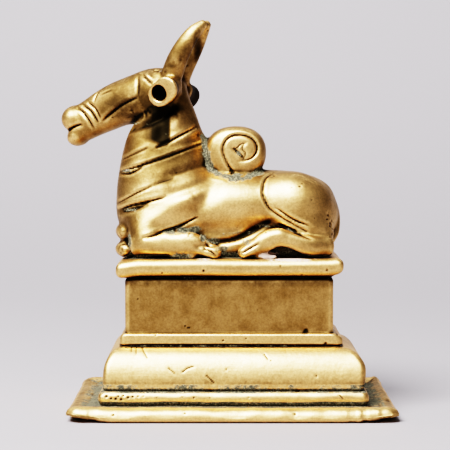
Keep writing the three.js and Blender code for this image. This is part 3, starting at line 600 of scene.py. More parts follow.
def neighbour_mean(values, edges):
    """For each vertex, the mean of a value over the vertices that share an edge with it."""
    values = np.asarray(values, float)
    flat = values.reshape(len(values), -1)
    a, b = edges.T
    count = np.bincount(a, minlength=len(flat)) + np.bincount(b, minlength=len(flat))
    total = np.stack([np.bincount(a, column[b], len(flat)) + np.bincount(b, column[a], len(flat))
                      for column in flat.T], axis=1)
    return (total / np.maximum(count, 1)[:, None]).reshape(values.shape)


def settled(points, edges, rounds, weight):
    """Points eased towards their neighbours, as wax forms are smoothed into each other."""
    weight = np.broadcast_to(weight, len(points))[:, None]
    for _ in range(rounds):
        points = points + (neighbour_mean(points, edges) - points) * weight
    return points


def trunk_mesh():
    """The round masses of the body, run together."""
    forms = [limb(bmesh.new(), BARREL, start_cap=4, end_cap=1.3),
             limb(bmesh.new(), BELLY, power=2.6, start_cap=3, end_cap=4),
             limb(bmesh.new(), NECK, start_cap=1, end_cap=3)]
    forms += both_sides(ball, *SHOULDER)
    forms += both_sides(ball, *HAUNCH)
    forms += both_sides(limb, UPPER_FORELEG, start_cap=3, end_cap=2.6)
    forms += both_sides(limb, SHANK, start_cap=3, end_cap=2.4)
    forms += both_sides(ball, *KNEE)
    forms.append(ball(bmesh.new(), *WEB))
    skin = fused(gathered(forms), TRUNK_VOXEL)
    points = points_of(skin)
    # The foot of the forms is eased less, so that it keeps its edge on the slab.
    weight = 0.15 + 0.45 * ramp(points[:, 2], 1.0, 6.0)
    points = settled(points, edges_of(skin), TRUNK_EASING, weight)
    skin.vertices.foreach_set("co", points.ravel())
    return skin


def ear(bm, lobe_size):
    """A short cup of leaf outline, its mouth turned to the side and its hole bored off its middle."""
    outward = (EAR_RIM - EAR_BASE).normalized()
    length = (EAR_RIM - EAR_BASE).length
    back = (ACROSS_X - outward * ACROSS_X.dot(outward)).normalized()
    up = outward.cross(back)
    # Each ring is its place along the cup, its radius and how much of the leaf outline it has.
    walls = [
        (0.0, 3.0, 0.2), (length * 0.5, 3.0, 0.5), (length - 0.5, EAR_RADIUS, 1.0),
        (length - 0.1, 3.25, 1.0), (length, 2.95, 0.95), (length, EAR_HOLE_RADIUS + 0.3, 0),
        (length - 0.3, EAR_HOLE_RADIUS, 0), (length - EAR_HOLE_DEPTH, EAR_HOLE_RADIUS * 0.85, 0),
    ]

    def place(angle, along, radius, leaf):
        lobe = max(0.0, math.cos(angle - math.radians(EAR_LOBE_DEGREES))) ** 2
        reach = radius + leaf * (lobe_size * lobe - EAR_DROP * math.sin(angle))
        return EAR_BASE + outward * along + (back * math.cos(angle) + up * math.sin(angle)) * reach

    return lofted(bm, 48, walls, place)


def head_turn():
    """Turns what is drawn straight ahead on the neck."""
    return (Matrix.Translation(HEAD_PIVOT) @ Matrix.Rotation(math.radians(-HEAD_TURN_DEGREES), 4, "Z")
            @ Matrix.Translation(-HEAD_PIVOT))


def head_forms():
    """The skull with its nose, lip, horns and ears."""
    turn = head_turn()
    middle = Matrix.Translation((0, HEAD_PIVOT.y, 0))
    skull = limb(bmesh.new(), SKULL, power=2.2, start_cap=2, end_cap=1.0)
    bmesh.ops.transform(skull, matrix=turn, verts=skull.verts)
    yield skull
    for shape in (NOSE, LOWER_LIP):
        form = ball(bmesh.new(), *shape)
        bmesh.ops.transform(form, matrix=turn, verts=form.verts)
        yield form
    near_ear, far_ear = ear(bmesh.new(), EAR_LOBE), ear(bmesh.new(), FAR_EAR_LOBE)
    bmesh.ops.scale(far_ear, vec=(1, -1, 1), verts=far_ear.verts)
    bmesh.ops.translate(far_ear, vec=FAR_EAR_DROP, verts=far_ear.verts)
    for form in (*both_sides(limb, HORN, start_cap=1, end_cap=0.9), near_ear, far_ear):
        bmesh.ops.transform(form, matrix=turn @ middle, verts=form.verts)
        yield form


def bull_mesh():
    """The trunk with the head, hump, lower legs, tail, bells and lumps, in one skin."""
    trunk = trunk_mesh()
    whole = bmesh.new()
    whole.from_mesh(trunk)
    bpy.data.meshes.remove(trunk)
    hump = limb(bmesh.new(), [
        (HUMP_X, along * HUMP_HALF_THICKNESS, HUMP_Z, HUMP_RADIUS_X * share, HUMP_RADIUS_Z * share)
        for along, share in HUMP_SHARES], across=ACROSS_X, power=2.3, steps=3, start_cap=0.4, end_cap=0.4)
    tail = limb(bmesh.new(), TAIL, sides=16, start_cap=1, end_cap=1.6)
    forms = [whole, hump, tail, *head_forms()]
    forms += both_sides(limb, FORELEG, power=2.3, start_cap=1.9, end_cap=1.9)
    forms += both_sides(limb, HIND_LEG, power=2.3, start_cap=2.0, end_cap=1.4)
    forms += [ball(bmesh.new(), *shape) for shape in BELLS + LUMPS]
    skin = fused(gathered(forms), BULL_VOXEL)
    points = settled(points_of(skin), edges_of(skin), BULL_EASING, 0.45)
    skin.vertices.foreach_set("co", points.ravel())
    return skin


# Broad valleys and ridges that give the neck, the shoulder and the belly their form, and the chased lines.
# Each runs as x and z seen from the side, and with it go its width, its depth, which is below nought for a
# ridge, and how far the fold above it stands proud.
MODELLED = [
    ([(-18.0, 38.2), (-17.7, 36.0), (-17.8, 33.6), (-17.9, 31.4), (-18.4, 29.0)], 5.0, 0.9, 0),
    ([(-13.6, 38.0), (-13.6, 35.6), (-13.9, 33.2)], 5.0, -0.35, 0),
    ([(-12.6, 31.2), (-9.6, 33.0), (-7.8, 34.0)], 2.6, -0.35, 0),
    ([(-27.6, 14.8), (-21.0, 17.4), (-14.2, 19.4), (-8.4, 20.8)], 3.4, -0.25, 0),
    ([(-19.4, 22.2), (-13.4, 24.2), (-7.8, 26.4)], 3.0, -0.25, 0),
    ([(-19.6, 19.6), (-14.4, 21.8), (-8.6, 23.8), (-5.4, 24.8)], 2.4, 0.3, 0),
    ([(-17.1, 16.1), (-12.4, 17.6), (-7.1, 19.8), (-4.4, 21.8)], 3.4, 0.55, 0),
    ([(-10.5, 9.6), (-7.4, 13.4), (-4.8, 17.4), (-3.6, 20.8)], 5.2, 0.85, 0),
    ([(-24.5, 9.5), (-18.0, 11.5), (-12.6, 14.6), (-9.4, 16.2)], 5.0, -0.5, 0),
    ([(-8.5, 3.4), (-2.7, 4.3), (1.7, 5.1), (6.0, 7.1), (10.8, 9.5)], 1.9, 1.3, 0),
    ([(-27.6, 33.6), (-24.7, 34.4), (-21.8, 35.4),
      (-19.1, 36.8), (-16.5, 38.2), (-13.8, 40.2)], 2.6, 1.2, 0),
]
CHASED = [
    ([(-29.0, 25.6), (-25.4, 27.2), (-21.7, 28.8)], 0.7, 0.3, 0.12),
    ([(-19.3, 29.0), (-14.5, 31.3), (-8.7, 34.5)], 0.8, 0.6, 0.2),
    ([(-29.3, 22.5), (-23.7, 24.2), (-15.8, 26.8), (-7.4, 30.0)], 0.75, 0.6, 0.25),
    ([(-29.2, 22.0), (-26.3, 22.3), (-23.2, 23.9)], 1.0, 0.7, 0.0),
    ([(-29.9, 14.0), (-25.0, 16.8), (-20.5, 18.8)], 0.75, 0.4, 0.15),
    ([(-20.5, 18.8), (-18.0, 19.8), (-14.8, 20.8)], 0.7, 0.12, 0.1),
    ([(-29.6, 12.3), (-26.3, 13.7), (-21.5, 14.8), (-16.9, 16.0)], 0.8, 0.65, 0.2),
    ([(-29.4, 11.8), (-25.8, 12.8), (-21.4, 14.4)], 2.0, 0.8, 0.0),
    ([(-22.4, 5.4), (-17.9, 6.9), (-13.4, 8.2), (-8.4, 10.7)], 0.8, 0.7, 0.2),
    ([(11.8, 22.4), (9.6, 20.9), (8.8, 17.8), (9.3, 15.3),
      (10.7, 12.9), (13.8, 10.6), (20.3, 7.0)], 0.74, 0.6, 0.12),
    ([(12.0, 13.4), (16.9, 10.1), (20.8, 8.6)], 0.8, 0.6, 0.12),
    ([(13.0, 8.9), (17.0, 7.1), (21.4, 5.3)], 0.8, 0.6, 0.1),
    ([(1.2, 22.2), (-0.6, 25.0), (-1.7, 27.9), (-1.3, 30.2), (0.2, 31.9), (2.8, 32.5),
      (5.5, 31.8), (7.2, 30.1), (7.4, 28.0), (6.3, 26.4), (4.5, 25.6), (2.4, 25.5)], 0.85, 0.65, 0.0),
    ([(-0.6, 25.1), (0.8, 21.7)], 0.5, 0.4, 0.0),
    ([(0.9, 29.0), (2.0, 28.0), (3.1, 26.9), (4.0, 25.9)], 1.3, 0.6, 0.0),
    ([(4.4, 30.3), (3.1, 29.9), (2.0, 28.9), (0.9, 28.9)], 0.6, 0.4, 0.0),
    ([(4.4, 30.3), (3.4, 28.8), (4.2, 27.6), (4.0, 25.9)], 0.6, 0.4, 0.0),
]
HEAD_CHASED = [
    ([(-41.4, 39.7), (-39.8, 38.6), (-38.1, 36.4), (-36.6, 34.1)], 0.8, 0.55, 0.0),
    ([(-39.8, 40.4), (-37.8, 39.0), (-36.4, 37.1), (-35.4, 35.6)], 1.0, 0.65, 0.0),
    ([(-38.2, 41.1), (-36.4, 39.6), (-34.7, 36.9)], 0.8, 0.55, 0.0),
    ([(-34.1, 36.2), (-31.7, 38.1), (-28.9, 40.2), (-24.8, 42.2)], 0.9, 0.75, 0.25),
    ([(-44.4, 33.3), (-42.0, 34.5), (-40.1, 35.2)], 0.9, 0.9, 0.1),
    ([(-36.5, 41.4), (-36.0, 42.9), (-35.2, 43.9)], 0.6, 0.3, 0.0),
    ([(-35.1, 43.0), (-33.4, 43.7), (-31.7, 44.3)], 0.6, 0.25, 0.0),
    ([(-24.4, 47.9), (-24.2, 45.3), (-24.4, 42.4)], 0.9, 0.35, 0.1),
    ([(-22.9, 47.9), (-21.8, 47.0), (-20.7, 45.9)], 0.8, 0.5, 0.35),
]
NEAR_CHASED = [
    ([(-6.4, 2.8), (-4.6, 1.8), (-3.4, 0.8)], 0.7, 0.5, 0.0),
    ([(7.5, 4.0), (4.9, 2.5), (3.2, 1.4)], 0.8, 0.7, 0.0),
]

# A line of this depth or more is filled with black.
FULL_DARK_DEPTH = 0.6

# Raised lids and knuckles and sunk nicks, each its x, z, radius and height; a nick's height is below nought.
DOTS = [
    (-22.0, 47.1, 1.1, 0.5), (-16.8, 6.4, 1.3, 0.25), (-10.6, 6.4, 1.3, 0.25), (13.2, 7.0, 1.5, 0.3),
    (16.3, 18.6, 0.22, -0.12), (18.5, 18.9, 0.26, -0.12), (19.2, 19.6, 0.2, -0.12),
    (11.5, 21.7, 0.22, -0.15), (25.8, 10.2, 0.25, -0.25), (26.6, 8.4, 0.25, -0.3),
    (27.2, 6.3, 0.25, -0.25), (-6.9, 5.0, 0.5, -0.4), (-31.4, 37.0, 0.2, -0.15), (4.0, 13.8, 0.18, -0.1),
    (-1.2, 17.0, 0.16, -0.08), (14.8, 15.2, 0.18, -0.1), (21.7, 15.4, 0.2, -0.12),
    (-14.0, 22.4, 0.18, -0.1), (9.6, 6.9, 0.2, -0.15),
]

# Skin that came out of the mould rough: each patch its x and z, its reach along both and how rough it is.
ROUGH = [
    (-24.4, 38.0, 3.4, 1.2, 0.8), (-18.6, 49.4, 2.4, 1.0, 0.5), (-8.8, 32.8, 1.7, 1.4, 0.4),
    (-10.4, 6.4, 2.4, 0.8, 0.5), (-6.4, 3.4, 1.6, 1.4, 0.5), (26.6, 8.6, 1.1, 4.2, 0.6),
    (-12.8, 51.2, 1.8, 1.4, 0.6), (-8.2, 56.5, 1.4, 3.6, 0.3), (-28.0, 4.0, 1.8, 4.4, 0.5),
    (12.0, 21.4, 1.8, 1.0, 0.5), (-5.6, 60.6, 1.4, 1.4, 0.6),
]
ROUGH_DEPTH = 0.5

# The whole skin wavers a little, slowly and quickly, as a wax worked by hand does.
SLOW_SKIN_WAVE = 0.02
QUICK_SKIN_WAVE = 0.012
# How far off the skin a sight line to the near side starts.
SIGHT_CLEARANCE = 0.06


def patches(points, spots):
    """How far each point lies in any of the spots, 0 to 1."""
    found = np.zeros(len(points))
    for x, z, reach_x, reach_z, share in spots:
        spot = np.exp(-((points[:, 0] - x) / reach_x) ** 2 - ((points[:, 2] - z) / reach_z) ** 2)
        found = np.maximum(found, spot * share)
    return found


def facing_side(normals, open_side):
    """How squarely each point faces the near side, 0 to 1; those that something hides get 0."""
    return ramp(-normals[:, 1], 0.02, 0.3) * open_side


def dotted(points, normals, open_side):
    """How far the raised and sunk dots move each point along its normal, and how deep in a nick it lies."""
    move = np.zeros(len(points))
    sunk = np.zeros(len(points))
    facing = facing_side(normals, open_side)
    for x, z, radius, height in DOTS:
        share = np.exp(-((points[:, 0] - x) ** 2 + (points[:, 2] - z) ** 2) / radius ** 2) * facing
        move += share * height
        if height < 0:
            sunk = np.maximum(sunk, share)
    return move, sunk


def chase(points, normals, open_side, lines):
    """How far chased lines move each point along its normal, and how deep in a line it lies, 0 to 1."""
    move = np.zeros(len(points))
    depth_share = np.zeros(len(points))
    facing = facing_side(normals, open_side)
    for path, width, depth, lip in lines:
        margin = width * 3.2
        xs, zs = zip(*path)
        inside = ((facing > 0) & (points[:, 0] > min(xs) - margin) & (points[:, 0] < max(xs) + margin)
                  & (points[:, 2] > min(zs) - margin) & (points[:, 2] < max(zs) + margin))
        chosen = np.nonzero(inside)[0]
        if not len(chosen):
            continue
        signed, share = nearest_on(path, points[chosen][:, (0, 2)])
        half = width / 2
        taper = 0.25 + 0.75 * np.sqrt(np.clip(np.sin(np.pi * share), 0, 1))
        groove = np.exp(-(signed / half) ** 2 * 1.6) * taper
        fold = np.exp(-((signed - 2.2 * half) / (1.7 * half)) ** 2) * taper
        move[chosen] += facing[chosen] * (lip * fold - depth * groove)
        dark = groove ** 2 * min(1.0, depth / FULL_DARK_DEPTH)
        depth_share[chosen] = np.maximum(depth_share[chosen], facing[chosen] * dark)
    return move, depth_share


def open_to_side(mesh, points, normals):
    """1 for each point that nothing hides from the near side, else 0."""
    tree = BVHTree.FromPolygons([Vector(p) for p in points], [p.vertices[:] for p in mesh.polygons])
    found = np.zeros(len(points))
    sideways = Vector((0, -1, 0))
    for number in np.nonzero(normals[:, 1] < 0)[0]:
        start = Vector(points[number] + normals[number] * SIGHT_CLEARANCE)
        found[number] = 0 if tree.ray_cast(start, sideways)[0] else 1
    return found


def mirrored(points, normals, plane_point, plane_normal):
    """Points and normals as seen in a mirror that stands on a plane."""
    p, n = np.array(plane_point), np.array(plane_normal)
    return points - 2 * ((points - p) @ n)[:, None] * n, normals - 2 * (normals @ n)[:, None] * n


bull = bull_mesh()
bull_xyz, bull_normals = points_of(bull), points_of(bull, "normal")
head_side = Matrix.Rotation(math.radians(-HEAD_TURN_DEGREES), 3, "Z") @ Vector((0, 1, 0))
open_near = open_to_side(bull, bull_xyz, bull_normals)
everywhere = np.ones(len(bull_xyz))
far_xyz, far_normals = mirrored(bull_xyz, bull_normals, (0, 0, 0), (0, 1, 0))
move = chase(bull_xyz, bull_normals, open_near, MODELLED)[0]
move += chase(far_xyz, far_normals, everywhere, MODELLED)[0]
bull_xyz = bull_xyz + bull_normals * move[:, None]
bull_xyz = settled(bull_xyz, edges_of(bull), 3, 0.4)
bull.vertices.foreach_set("co", bull_xyz.ravel())
bull_normals = points_of(bull, "normal")

# The far side is chased as a mirror image; the head has a mirror of its own, because it is turned.
move, chased = chase(bull_xyz, bull_normals, open_near, CHASED + HEAD_CHASED + NEAR_CHASED)
for plane_point, plane_normal, lines in ((Vector((0, 0, 0)), Vector((0, 1, 0)), CHASED),
                                         (HEAD_PIVOT, head_side, HEAD_CHASED)):
    far_xyz, far_normals = mirrored(bull_xyz, bull_normals, plane_point, plane_normal)
    far_move, far_chased = chase(far_xyz, far_normals, everywhere, lines)
    move += far_move
    chased = np.maximum(chased, far_chased)
dot_move, sunk = dotted(bull_xyz, bull_normals, open_near)
chased = np.maximum(chased, sunk)
rough = patches(bull_xyz, ROUGH) * open_near * np.clip(waver(bull_xyz, 1.1, 6) * 1.4 - 0.2, 0, 1)
chased = np.maximum(chased, rough)
move += (dot_move - ROUGH_DEPTH * rough + SLOW_SKIN_WAVE * waver(bull_xyz, 6.0, 4)
         + QUICK_SKIN_WAVE * waver(bull_xyz, 1.7, 5))
bull_xyz = bull_xyz + bull_normals * move[:, None]
bull.vertices.foreach_set("co", (bull_xyz + np.array(FIGURE_ORIGIN)).ravel())

# The metal of both.
# Old cast brass, about two parts copper to one of zinc. Years of rubbing have left the high places bright and
# satin, while the hollows keep a brown film, grey-green dirt and old polish. Painted highlights and painted
# shade are laid into the same bright metal and brown film. Bull and plinth are one casting, in two meshes
# only so that each can be fine enough.
MM = 0.001
NODE = "nandi_bull_on_plinth"
BRIGHT_BRASS = "#F4C382"
DULL_BRASS = "#8A693C"
BROWN_FILM_AND_SHADE = "#4C3A20"
CREASE_AND_SHADE_BLACK = "#1A150C"
CHANNEL_DIRT = "#373527"
PALE_DIRT = "#837D63"
OLD_POLISH = "#CDB5A8"

# The size of each pattern in the metal, and how deep its fine relief is.
POLISH_CLOUD = 4.0
FILM_MOTTLE = 2.2
DIRT_GRAIN = 0.5
RUB_SPECK = 0.6
CAST_GRAIN = 0.9
PORE_SPACING = 1.65
RUB_SCRATCH = (6.0, 0.45, 0.45)
RELIEF_DEPTH = 0.1


def linear(colour):
    """An sRGB hex colour as the linear red, green, blue and alpha that a shader takes."""
    shares = [int(colour[i:i + 2], 16) / 255 for i in (1, 3, 5)]
    return tuple(s / 12.92 if s <= 0.04045 else ((s + 0.055) / 1.055) ** 2.4 for s in shares) + (1.0,)


def add(tree, kind, inputs=None, output=0, **settings):
    """Adds a node, sets its properties, fills its inputs with values or links, and gives one output."""
    node = tree.nodes.new("ShaderNode" + kind)
    for name, value in settings.items():
        setattr(node, name, value)
    for socket, value in (inputs or {}).items():
        if isinstance(value, bpy.types.NodeSocket):
            tree.links.new(value, node.inputs[socket])
        else:
            node.inputs[socket].default_value = value
    return node.outputs[output] if node.outputs else None


def per_mm(size):
    """The scale of a pattern that repeats about every so many millimetres, on coordinates in metres."""
    return 1.0 / (size * MM)


def aged_cast_brass():
    """Brass that is bright where it is rubbed and where highlights are painted, brown where it isn't and
    where shade is painted, and hidden by dirt in the hollows.
    """
    material = bpy.data.materials.new("aged_cast_brass")
    material.use_nodes = True
    tree = material.node_tree
    tree.nodes.clear()
    place = add(tree, "TexCoord", output="Object")
    grime, hollow_and_shade, worn_and_highlit, polish = (add(tree, "Attribute", output="Fac", attribute_name=name)
                                   for name in ("grime", "hollow_and_shade", "worn_and_highlit", "polish"))

    # Broad clouds of brighter and duller metal, as a rubbing cloth leaves them, brightened further by wear
    # and painted highlights.
    cloud = add(tree, "TexNoise", {"Vector": place, "Scale": per_mm(POLISH_CLOUD), "Detail": 3.0,
                                   "Roughness": 0.55})
    mottle = add(tree, "TexNoise", {"Vector": place, "Scale": per_mm(FILM_MOTTLE), "Detail": 5.0,
                                    "Roughness": 0.62})
    bright = add(tree, "MapRange", {"Value": cloud, "From Min": 0.36, "From Max": 0.64, "To Max": 0.3})
    bright = add(tree, "Math", {0: bright, 1: worn_and_highlit}, operation="ADD", use_clamp=True)
    metal = add(tree, "Mix", {"Factor": bright, "A": linear(DULL_BRASS), "B": linear(BRIGHT_BRASS)}, 2,
                data_type="RGBA")

    # The brown film starts in the hollows and breaks up at its edge; the same brown lays the painted shade
    # that the hollow values carry.
    film_and_shade = add(tree, "Math", {0: mottle, 1: 0.55, 2: -0.27}, operation="MULTIPLY_ADD")
    film_and_shade = add(tree, "Math", {0: hollow_and_shade, 1: film_and_shade}, operation="ADD")
    film_and_shade = add(tree, "MapRange", {"Value": film_and_shade, "From Min": 0.16, "From Max": 0.72, "To Max": 0.9},
               interpolation_type="SMOOTHSTEP")
    metal = add(tree, "Mix", {"Factor": film_and_shade, "A": metal, "B": linear(BROWN_FILM_AND_SHADE)}, 2, data_type="RGBA")

    # Fine specks of dark and bright from cast grain and rubbing.
    speck = add(tree, "TexNoise", {"Vector": place, "Scale": per_mm(RUB_SPECK), "Detail": 4.0,
                                   "Roughness": 0.75})
    speck = add(tree, "MapRange", {"Value": speck, "From Min": 0.36, "From Max": 0.62, "To Min": 0.72,
                                   "To Max": 1.06})
    metal = add(tree, "VectorMath", {0: metal, 1: speck}, operation="MULTIPLY")

    # The bottoms of the grooves are nearly black, and so is the deepest painted shade, in the throat and the
    # ear's hole.
    pitch = add(tree, "MapRange", {"Value": hollow_and_shade, "From Min": 0.62, "From Max": 0.98})
    metal = add(tree, "Mix", {"Factor": pitch, "A": metal, "B": linear(CREASE_AND_SHADE_BLACK)}, 2, data_type="RGBA")

    # Casting pores, drawn a little larger than the real ones so that they show.
    pores = add(tree, "TexVoronoi", {"Vector": place, "Scale": per_mm(PORE_SPACING)}, "Distance")
    pores = add(tree, "MapRange", {"Value": pores, "From Min": 0.05, "From Max": 0.13, "To Min": 1.0,
                                   "To Max": 0.0})
    sparse = add(tree, "MapRange", {"Value": mottle, "From Min": 0.56, "From Max": 0.62})
    pores = add(tree, "Math", {0: pores, 1: sparse}, operation="MULTIPLY")
    metal = add(tree, "Mix", {"Factor": pores, "A": metal, "B": linear(BROWN_FILM_AND_SHADE)}, 2, data_type="RGBA")

    # Packed dirt and old polish lie over the metal and aren't metallic.
    grain = add(tree, "TexNoise", {"Vector": place, "Scale": per_mm(DIRT_GRAIN), "Detail": 4.0,
                                   "Roughness": 0.7})
    ragged = add(tree, "Math", {0: grain, 1: 0.7, 2: -0.35}, operation="MULTIPLY_ADD")
    ragged = add(tree, "Math", {0: ragged, 1: mottle}, operation="ADD")
    ragged = add(tree, "Math", {0: ragged, 1: -0.5}, operation="ADD")
    dirty = add(tree, "Math", {0: grime, 1: ragged}, operation="ADD")
    dirty = add(tree, "MapRange", {"Value": dirty, "From Min": 0.36, "From Max": 0.62},
                interpolation_type="SMOOTHSTEP")
    pale = add(tree, "MapRange", {"Value": grain, "From Min": 0.49, "From Max": 0.66})
    dirt = add(tree, "Mix", {"Factor": pale, "A": linear(CHANNEL_DIRT), "B": linear(PALE_DIRT)}, 2,
               data_type="RGBA")
    chalky = add(tree, "Math", {0: polish, 1: ragged}, operation="ADD")
    chalky = add(tree, "MapRange", {"Value": chalky, "From Min": 0.4, "From Max": 0.6})
    dirt = add(tree, "Mix", {"Factor": chalky, "A": dirt, "B": linear(OLD_POLISH)}, 2, data_type="RGBA")
    covered = add(tree, "Math", {0: dirty, 1: chalky}, operation="MAXIMUM")
    colour = add(tree, "Mix", {"Factor": covered, "A": metal, "B": dirt}, 2, data_type="RGBA")
    metallic = add(tree, "MapRange", {"Value": covered, "To Min": 1.0, "To Max": 0.0})

    # Satin where rubbed, duller where the film and the painted shade lie, matt on dirt.
    gloss = add(tree, "MapRange", {"Value": cloud, "From Min": 0.3, "From Max": 0.7, "To Min": 0.46,
                                   "To Max": 0.38})
    gloss = add(tree, "Math", {0: film_and_shade, 1: 0.2, 2: gloss}, operation="MULTIPLY_ADD")
    rough = add(tree, "Mix", {"Factor": covered, "A": gloss, "B": 0.85})

    # Fine relief: cast grain, rubbing scratches that run along the piece, pores and dirt crumbs.
    cast = add(tree, "TexNoise", {"Vector": place, "Scale": per_mm(CAST_GRAIN), "Detail": 5.0,
                                  "Roughness": 0.6})
    stretched = add(tree, "Mapping", {"Vector": place, "Scale": tuple(per_mm(s) for s in RUB_SCRATCH)})
    scratch = add(tree, "TexNoise", {"Vector": stretched, "Scale": 1.0, "Detail": 3.0})
    relief = add(tree, "Math", {0: scratch, 1: 0.35, 2: cast}, operation="MULTIPLY_ADD")
    relief = add(tree, "Math", {0: pores, 1: -0.8, 2: relief}, operation="MULTIPLY_ADD")
    crumbs = add(tree, "Math", {0: grain, 1: covered}, operation="MULTIPLY")
    relief = add(tree, "Math", {0: crumbs, 1: 2.5, 2: relief}, operation="MULTIPLY_ADD")
    bump = add(tree, "Bump", {"Height": relief, "Strength": 0.35, "Distance": RELIEF_DEPTH * MM})
    shader = add(tree, "BsdfPrincipled", {"Base Color": colour, "Metallic": metallic, "Roughness": rough,
                                          "Normal": bump})
    add(tree, "OutputMaterial", {"Surface": shader})
    return material


brass = aged_cast_brass()

# Cells that say how much metal lies round a place: their size, the corner where they start and their number,
# how often they are blurred, and how far off the skin they are read.
CELL = 0.8
GRID_LOW = np.array((-50.0, -34.0, -6.0))
GRID_CELLS = (120, 86, 146)
NEAR_ROUNDS = 4
WIDE_ROUNDS = 22
NEAR_LOOK = 0.6
WIDE_LOOK = 1.2


def filled_cells(trees):
    """A block of cells over the whole figure, 1 where the cell's middle lies in metal."""
    cells = np.zeros(GRID_CELLS, np.float32)
    heights = GRID_LOW[2] + (np.arange(GRID_CELLS[2]) + 0.5) * CELL
    up = Vector((0, 0, 1))
    for i, j in np.ndindex(GRID_CELLS[:2]):
        x, y = GRID_LOW[:2] + (np.array((i, j)) + 0.5) * CELL
        for tree in trees:
            start, bottom = GRID_LOW[2], None
            while True:
                hit, normal = tree.ray_cast(Vector((x, y, start)), up)[:2]
                if hit is None:
                    break
                if normal.z < 0 and bottom is None:
                    bottom = hit.z
                elif normal.z > 0 and bottom is not None:
                    cells[i, j, (heights > bottom) & (heights < hit.z)] = 1
                    bottom = None
                start = hit.z + 0.01
    return cells


def spread(cells, rounds):
    """The cells blurred, so that each says how much metal lies round it."""
    for _ in range(rounds):
        for axis in range(3):
            cells = 0.5 * cells + 0.25 * (np.roll(cells, 1, axis) + np.roll(cells, -1, axis))
    return cells


def metal_near(cells, places):
    """The blurred cells' value at each place, run smoothly from cell to cell."""
    at = (places - GRID_LOW) / CELL - 0.5
    base = np.floor(at).astype(int)
    part = at - base
    found = np.zeros(len(places))
    for corner in np.ndindex(2, 2, 2):
        weight = np.prod(np.where(corner, part, 1 - part), axis=1)
        found += weight * cells[tuple((base + corner).T)]
    return found


def bent(mesh, rounds):
    """How hollow, above nought, or sharp, below it, the surface is at each point, in millimetres."""
    points, normals, edges = points_of(mesh), points_of(mesh, "normal"), edges_of(mesh)
    eased = settled(points, edges, rounds, 0.6)
    return ((eased - points) * normals).sum(axis=1)


def paint(mesh, name, values):
    """Gives each of a mesh's points a value from 0 to 1 that the brass reads."""
    layer = mesh.attributes.new(name, "FLOAT", "POINT")
    layer.data.foreach_set("value", np.clip(values, 0, 1).astype(np.float32))


def shape_tree(mesh):
    """A mesh's faces, ready for rays to be cast at them."""
    shape = bmesh.new()
    shape.from_mesh(mesh)
    tree = BVHTree.FromBMesh(shape)
    shape.free()
    return tree


metal = filled_cells([shape_tree(bull), shape_tree(plinth)])
close_metal, wide_metal = spread(metal, NEAR_ROUNDS), spread(metal, WIDE_ROUNDS)

# Patches on the bull's near side, each its x and z, its reach along both and its strength: packed dirt, thick
# brown film with painted shade among it, old polish, and where hands and cloths rub the most, with painted
# highlights among those.
BULL_DIRT = [
    (-26.2, 4.4, 0.7, 3.2, 0.75), (-27.4, 22.8, 1.9, 0.5, 0.8), (-26.0, 12.6, 3.4, 0.7, 0.5),
    (2.6, 27.4, 0.8, 1.0, 0.6), (-1.0, 2.6, 4.0, 1.2, 0.6), (4.6, 4.2, 2.4, 1.2, 0.5),
    (17.0, 0.4, 8.0, 0.5, 0.6), (-10.0, 0.2, 14.0, 0.5, 0.6), (-25.4, 35.4, 3.4, 0.5, 0.5),
    (-9.4, 6.6, 1.4, 0.7, 0.45), (27.0, 1.0, 2.0, 0.8, 0.6), (-15.5, 6.9, 2.0, 0.5, 0.8),
    (-12.0, 7.4, 2.2, 0.8, 0.9), (-9.0, 7.6, 1.8, 1.0, 0.95), (-6.9, 5.4, 1.1, 1.0, 0.8),
    (-4.0, 4.6, 2.4, 0.9, 0.7), (-12.2, 0.6, 3.6, 1.3, 0.8), (9.6, 0.6, 3.0, 1.0, 0.3),
    (2.0, 6.6, 5.0, 0.7, 0.45), (9.6, 8.6, 3.0, 0.7, 0.45),
]
# Brown film, and painted shade under the jaw, down the neck and in the shoulder's valley.
BULL_FILM_AND_SHADE = [
    (-22.4, 34.4, 3.4, 4.0, 0.4), (-24.4, 37.4, 4.4, 1.8, 0.8), (-17.0, 39.6, 5.0, 1.8, 0.8),
    (-15.4, 29.4, 1.8, 0.8, 0.7), (-25.6, 33.4, 3.0, 1.2, 0.6), (-15.2, 50.6, 2.0, 1.4, 0.7),
    (-8.8, 12.0, 1.5, 3.0, 0.35), (-14.2, 39.4, 3.2, 1.6, 1.0), (-5.8, 26.0, 1.2, 4.0, 0.4),
    (-24.3, 45.2, 0.7, 2.4, 0.5), (26.8, 7.0, 1.4, 5.0, 0.1), (-8.4, 55.0, 1.6, 5.0, 0.85),
    (-12.0, 54.0, 4.4, 6.0, 0.6), (-17.6, 49.6, 2.2, 1.0, 0.5), (-24.0, 30.5, 3.0, 3.0, 0.4),
    (-1.0, 6.0, 8.0, 1.6, 0.4), (-19.0, 41.0, 3.0, 2.4, 0.45), (-27.0, 6.0, 1.2, 5.0, 0.5),
    (-20.0, 47.0, 3.0, 2.0, 0.4), (-30.0, 41.0, 11.0, 5.0, 0.72), (-42.0, 35.4, 5.0, 5.0, 0.5),
    (-17.0, 20.5, 6.5, 3.4, 0.7), (-16.0, 26.0, 9.0, 8.0, 0.76), (-14.0, 16.0, 8.0, 4.0, 0.12),
    (12.0, 24.0, 9.0, 2.2, 0.35),
]
BULL_POLISH = [
    (-27.4, 23.0, 0.9, 0.3, 0.5), (-24.4, 10.2, 2.4, 1.0, 0.34), (-25.6, 46.6, 0.3, 0.8, 0.3),
    (10.0, 0.8, 3.4, 1.2, 0.85), (-18.4, 49.4, 1.6, 0.6, 0.4), (17.6, 4.4, 2.6, 0.4, 0.35),
    (-27.6, -0.2, 0.8, 0.8, 0.5),
]
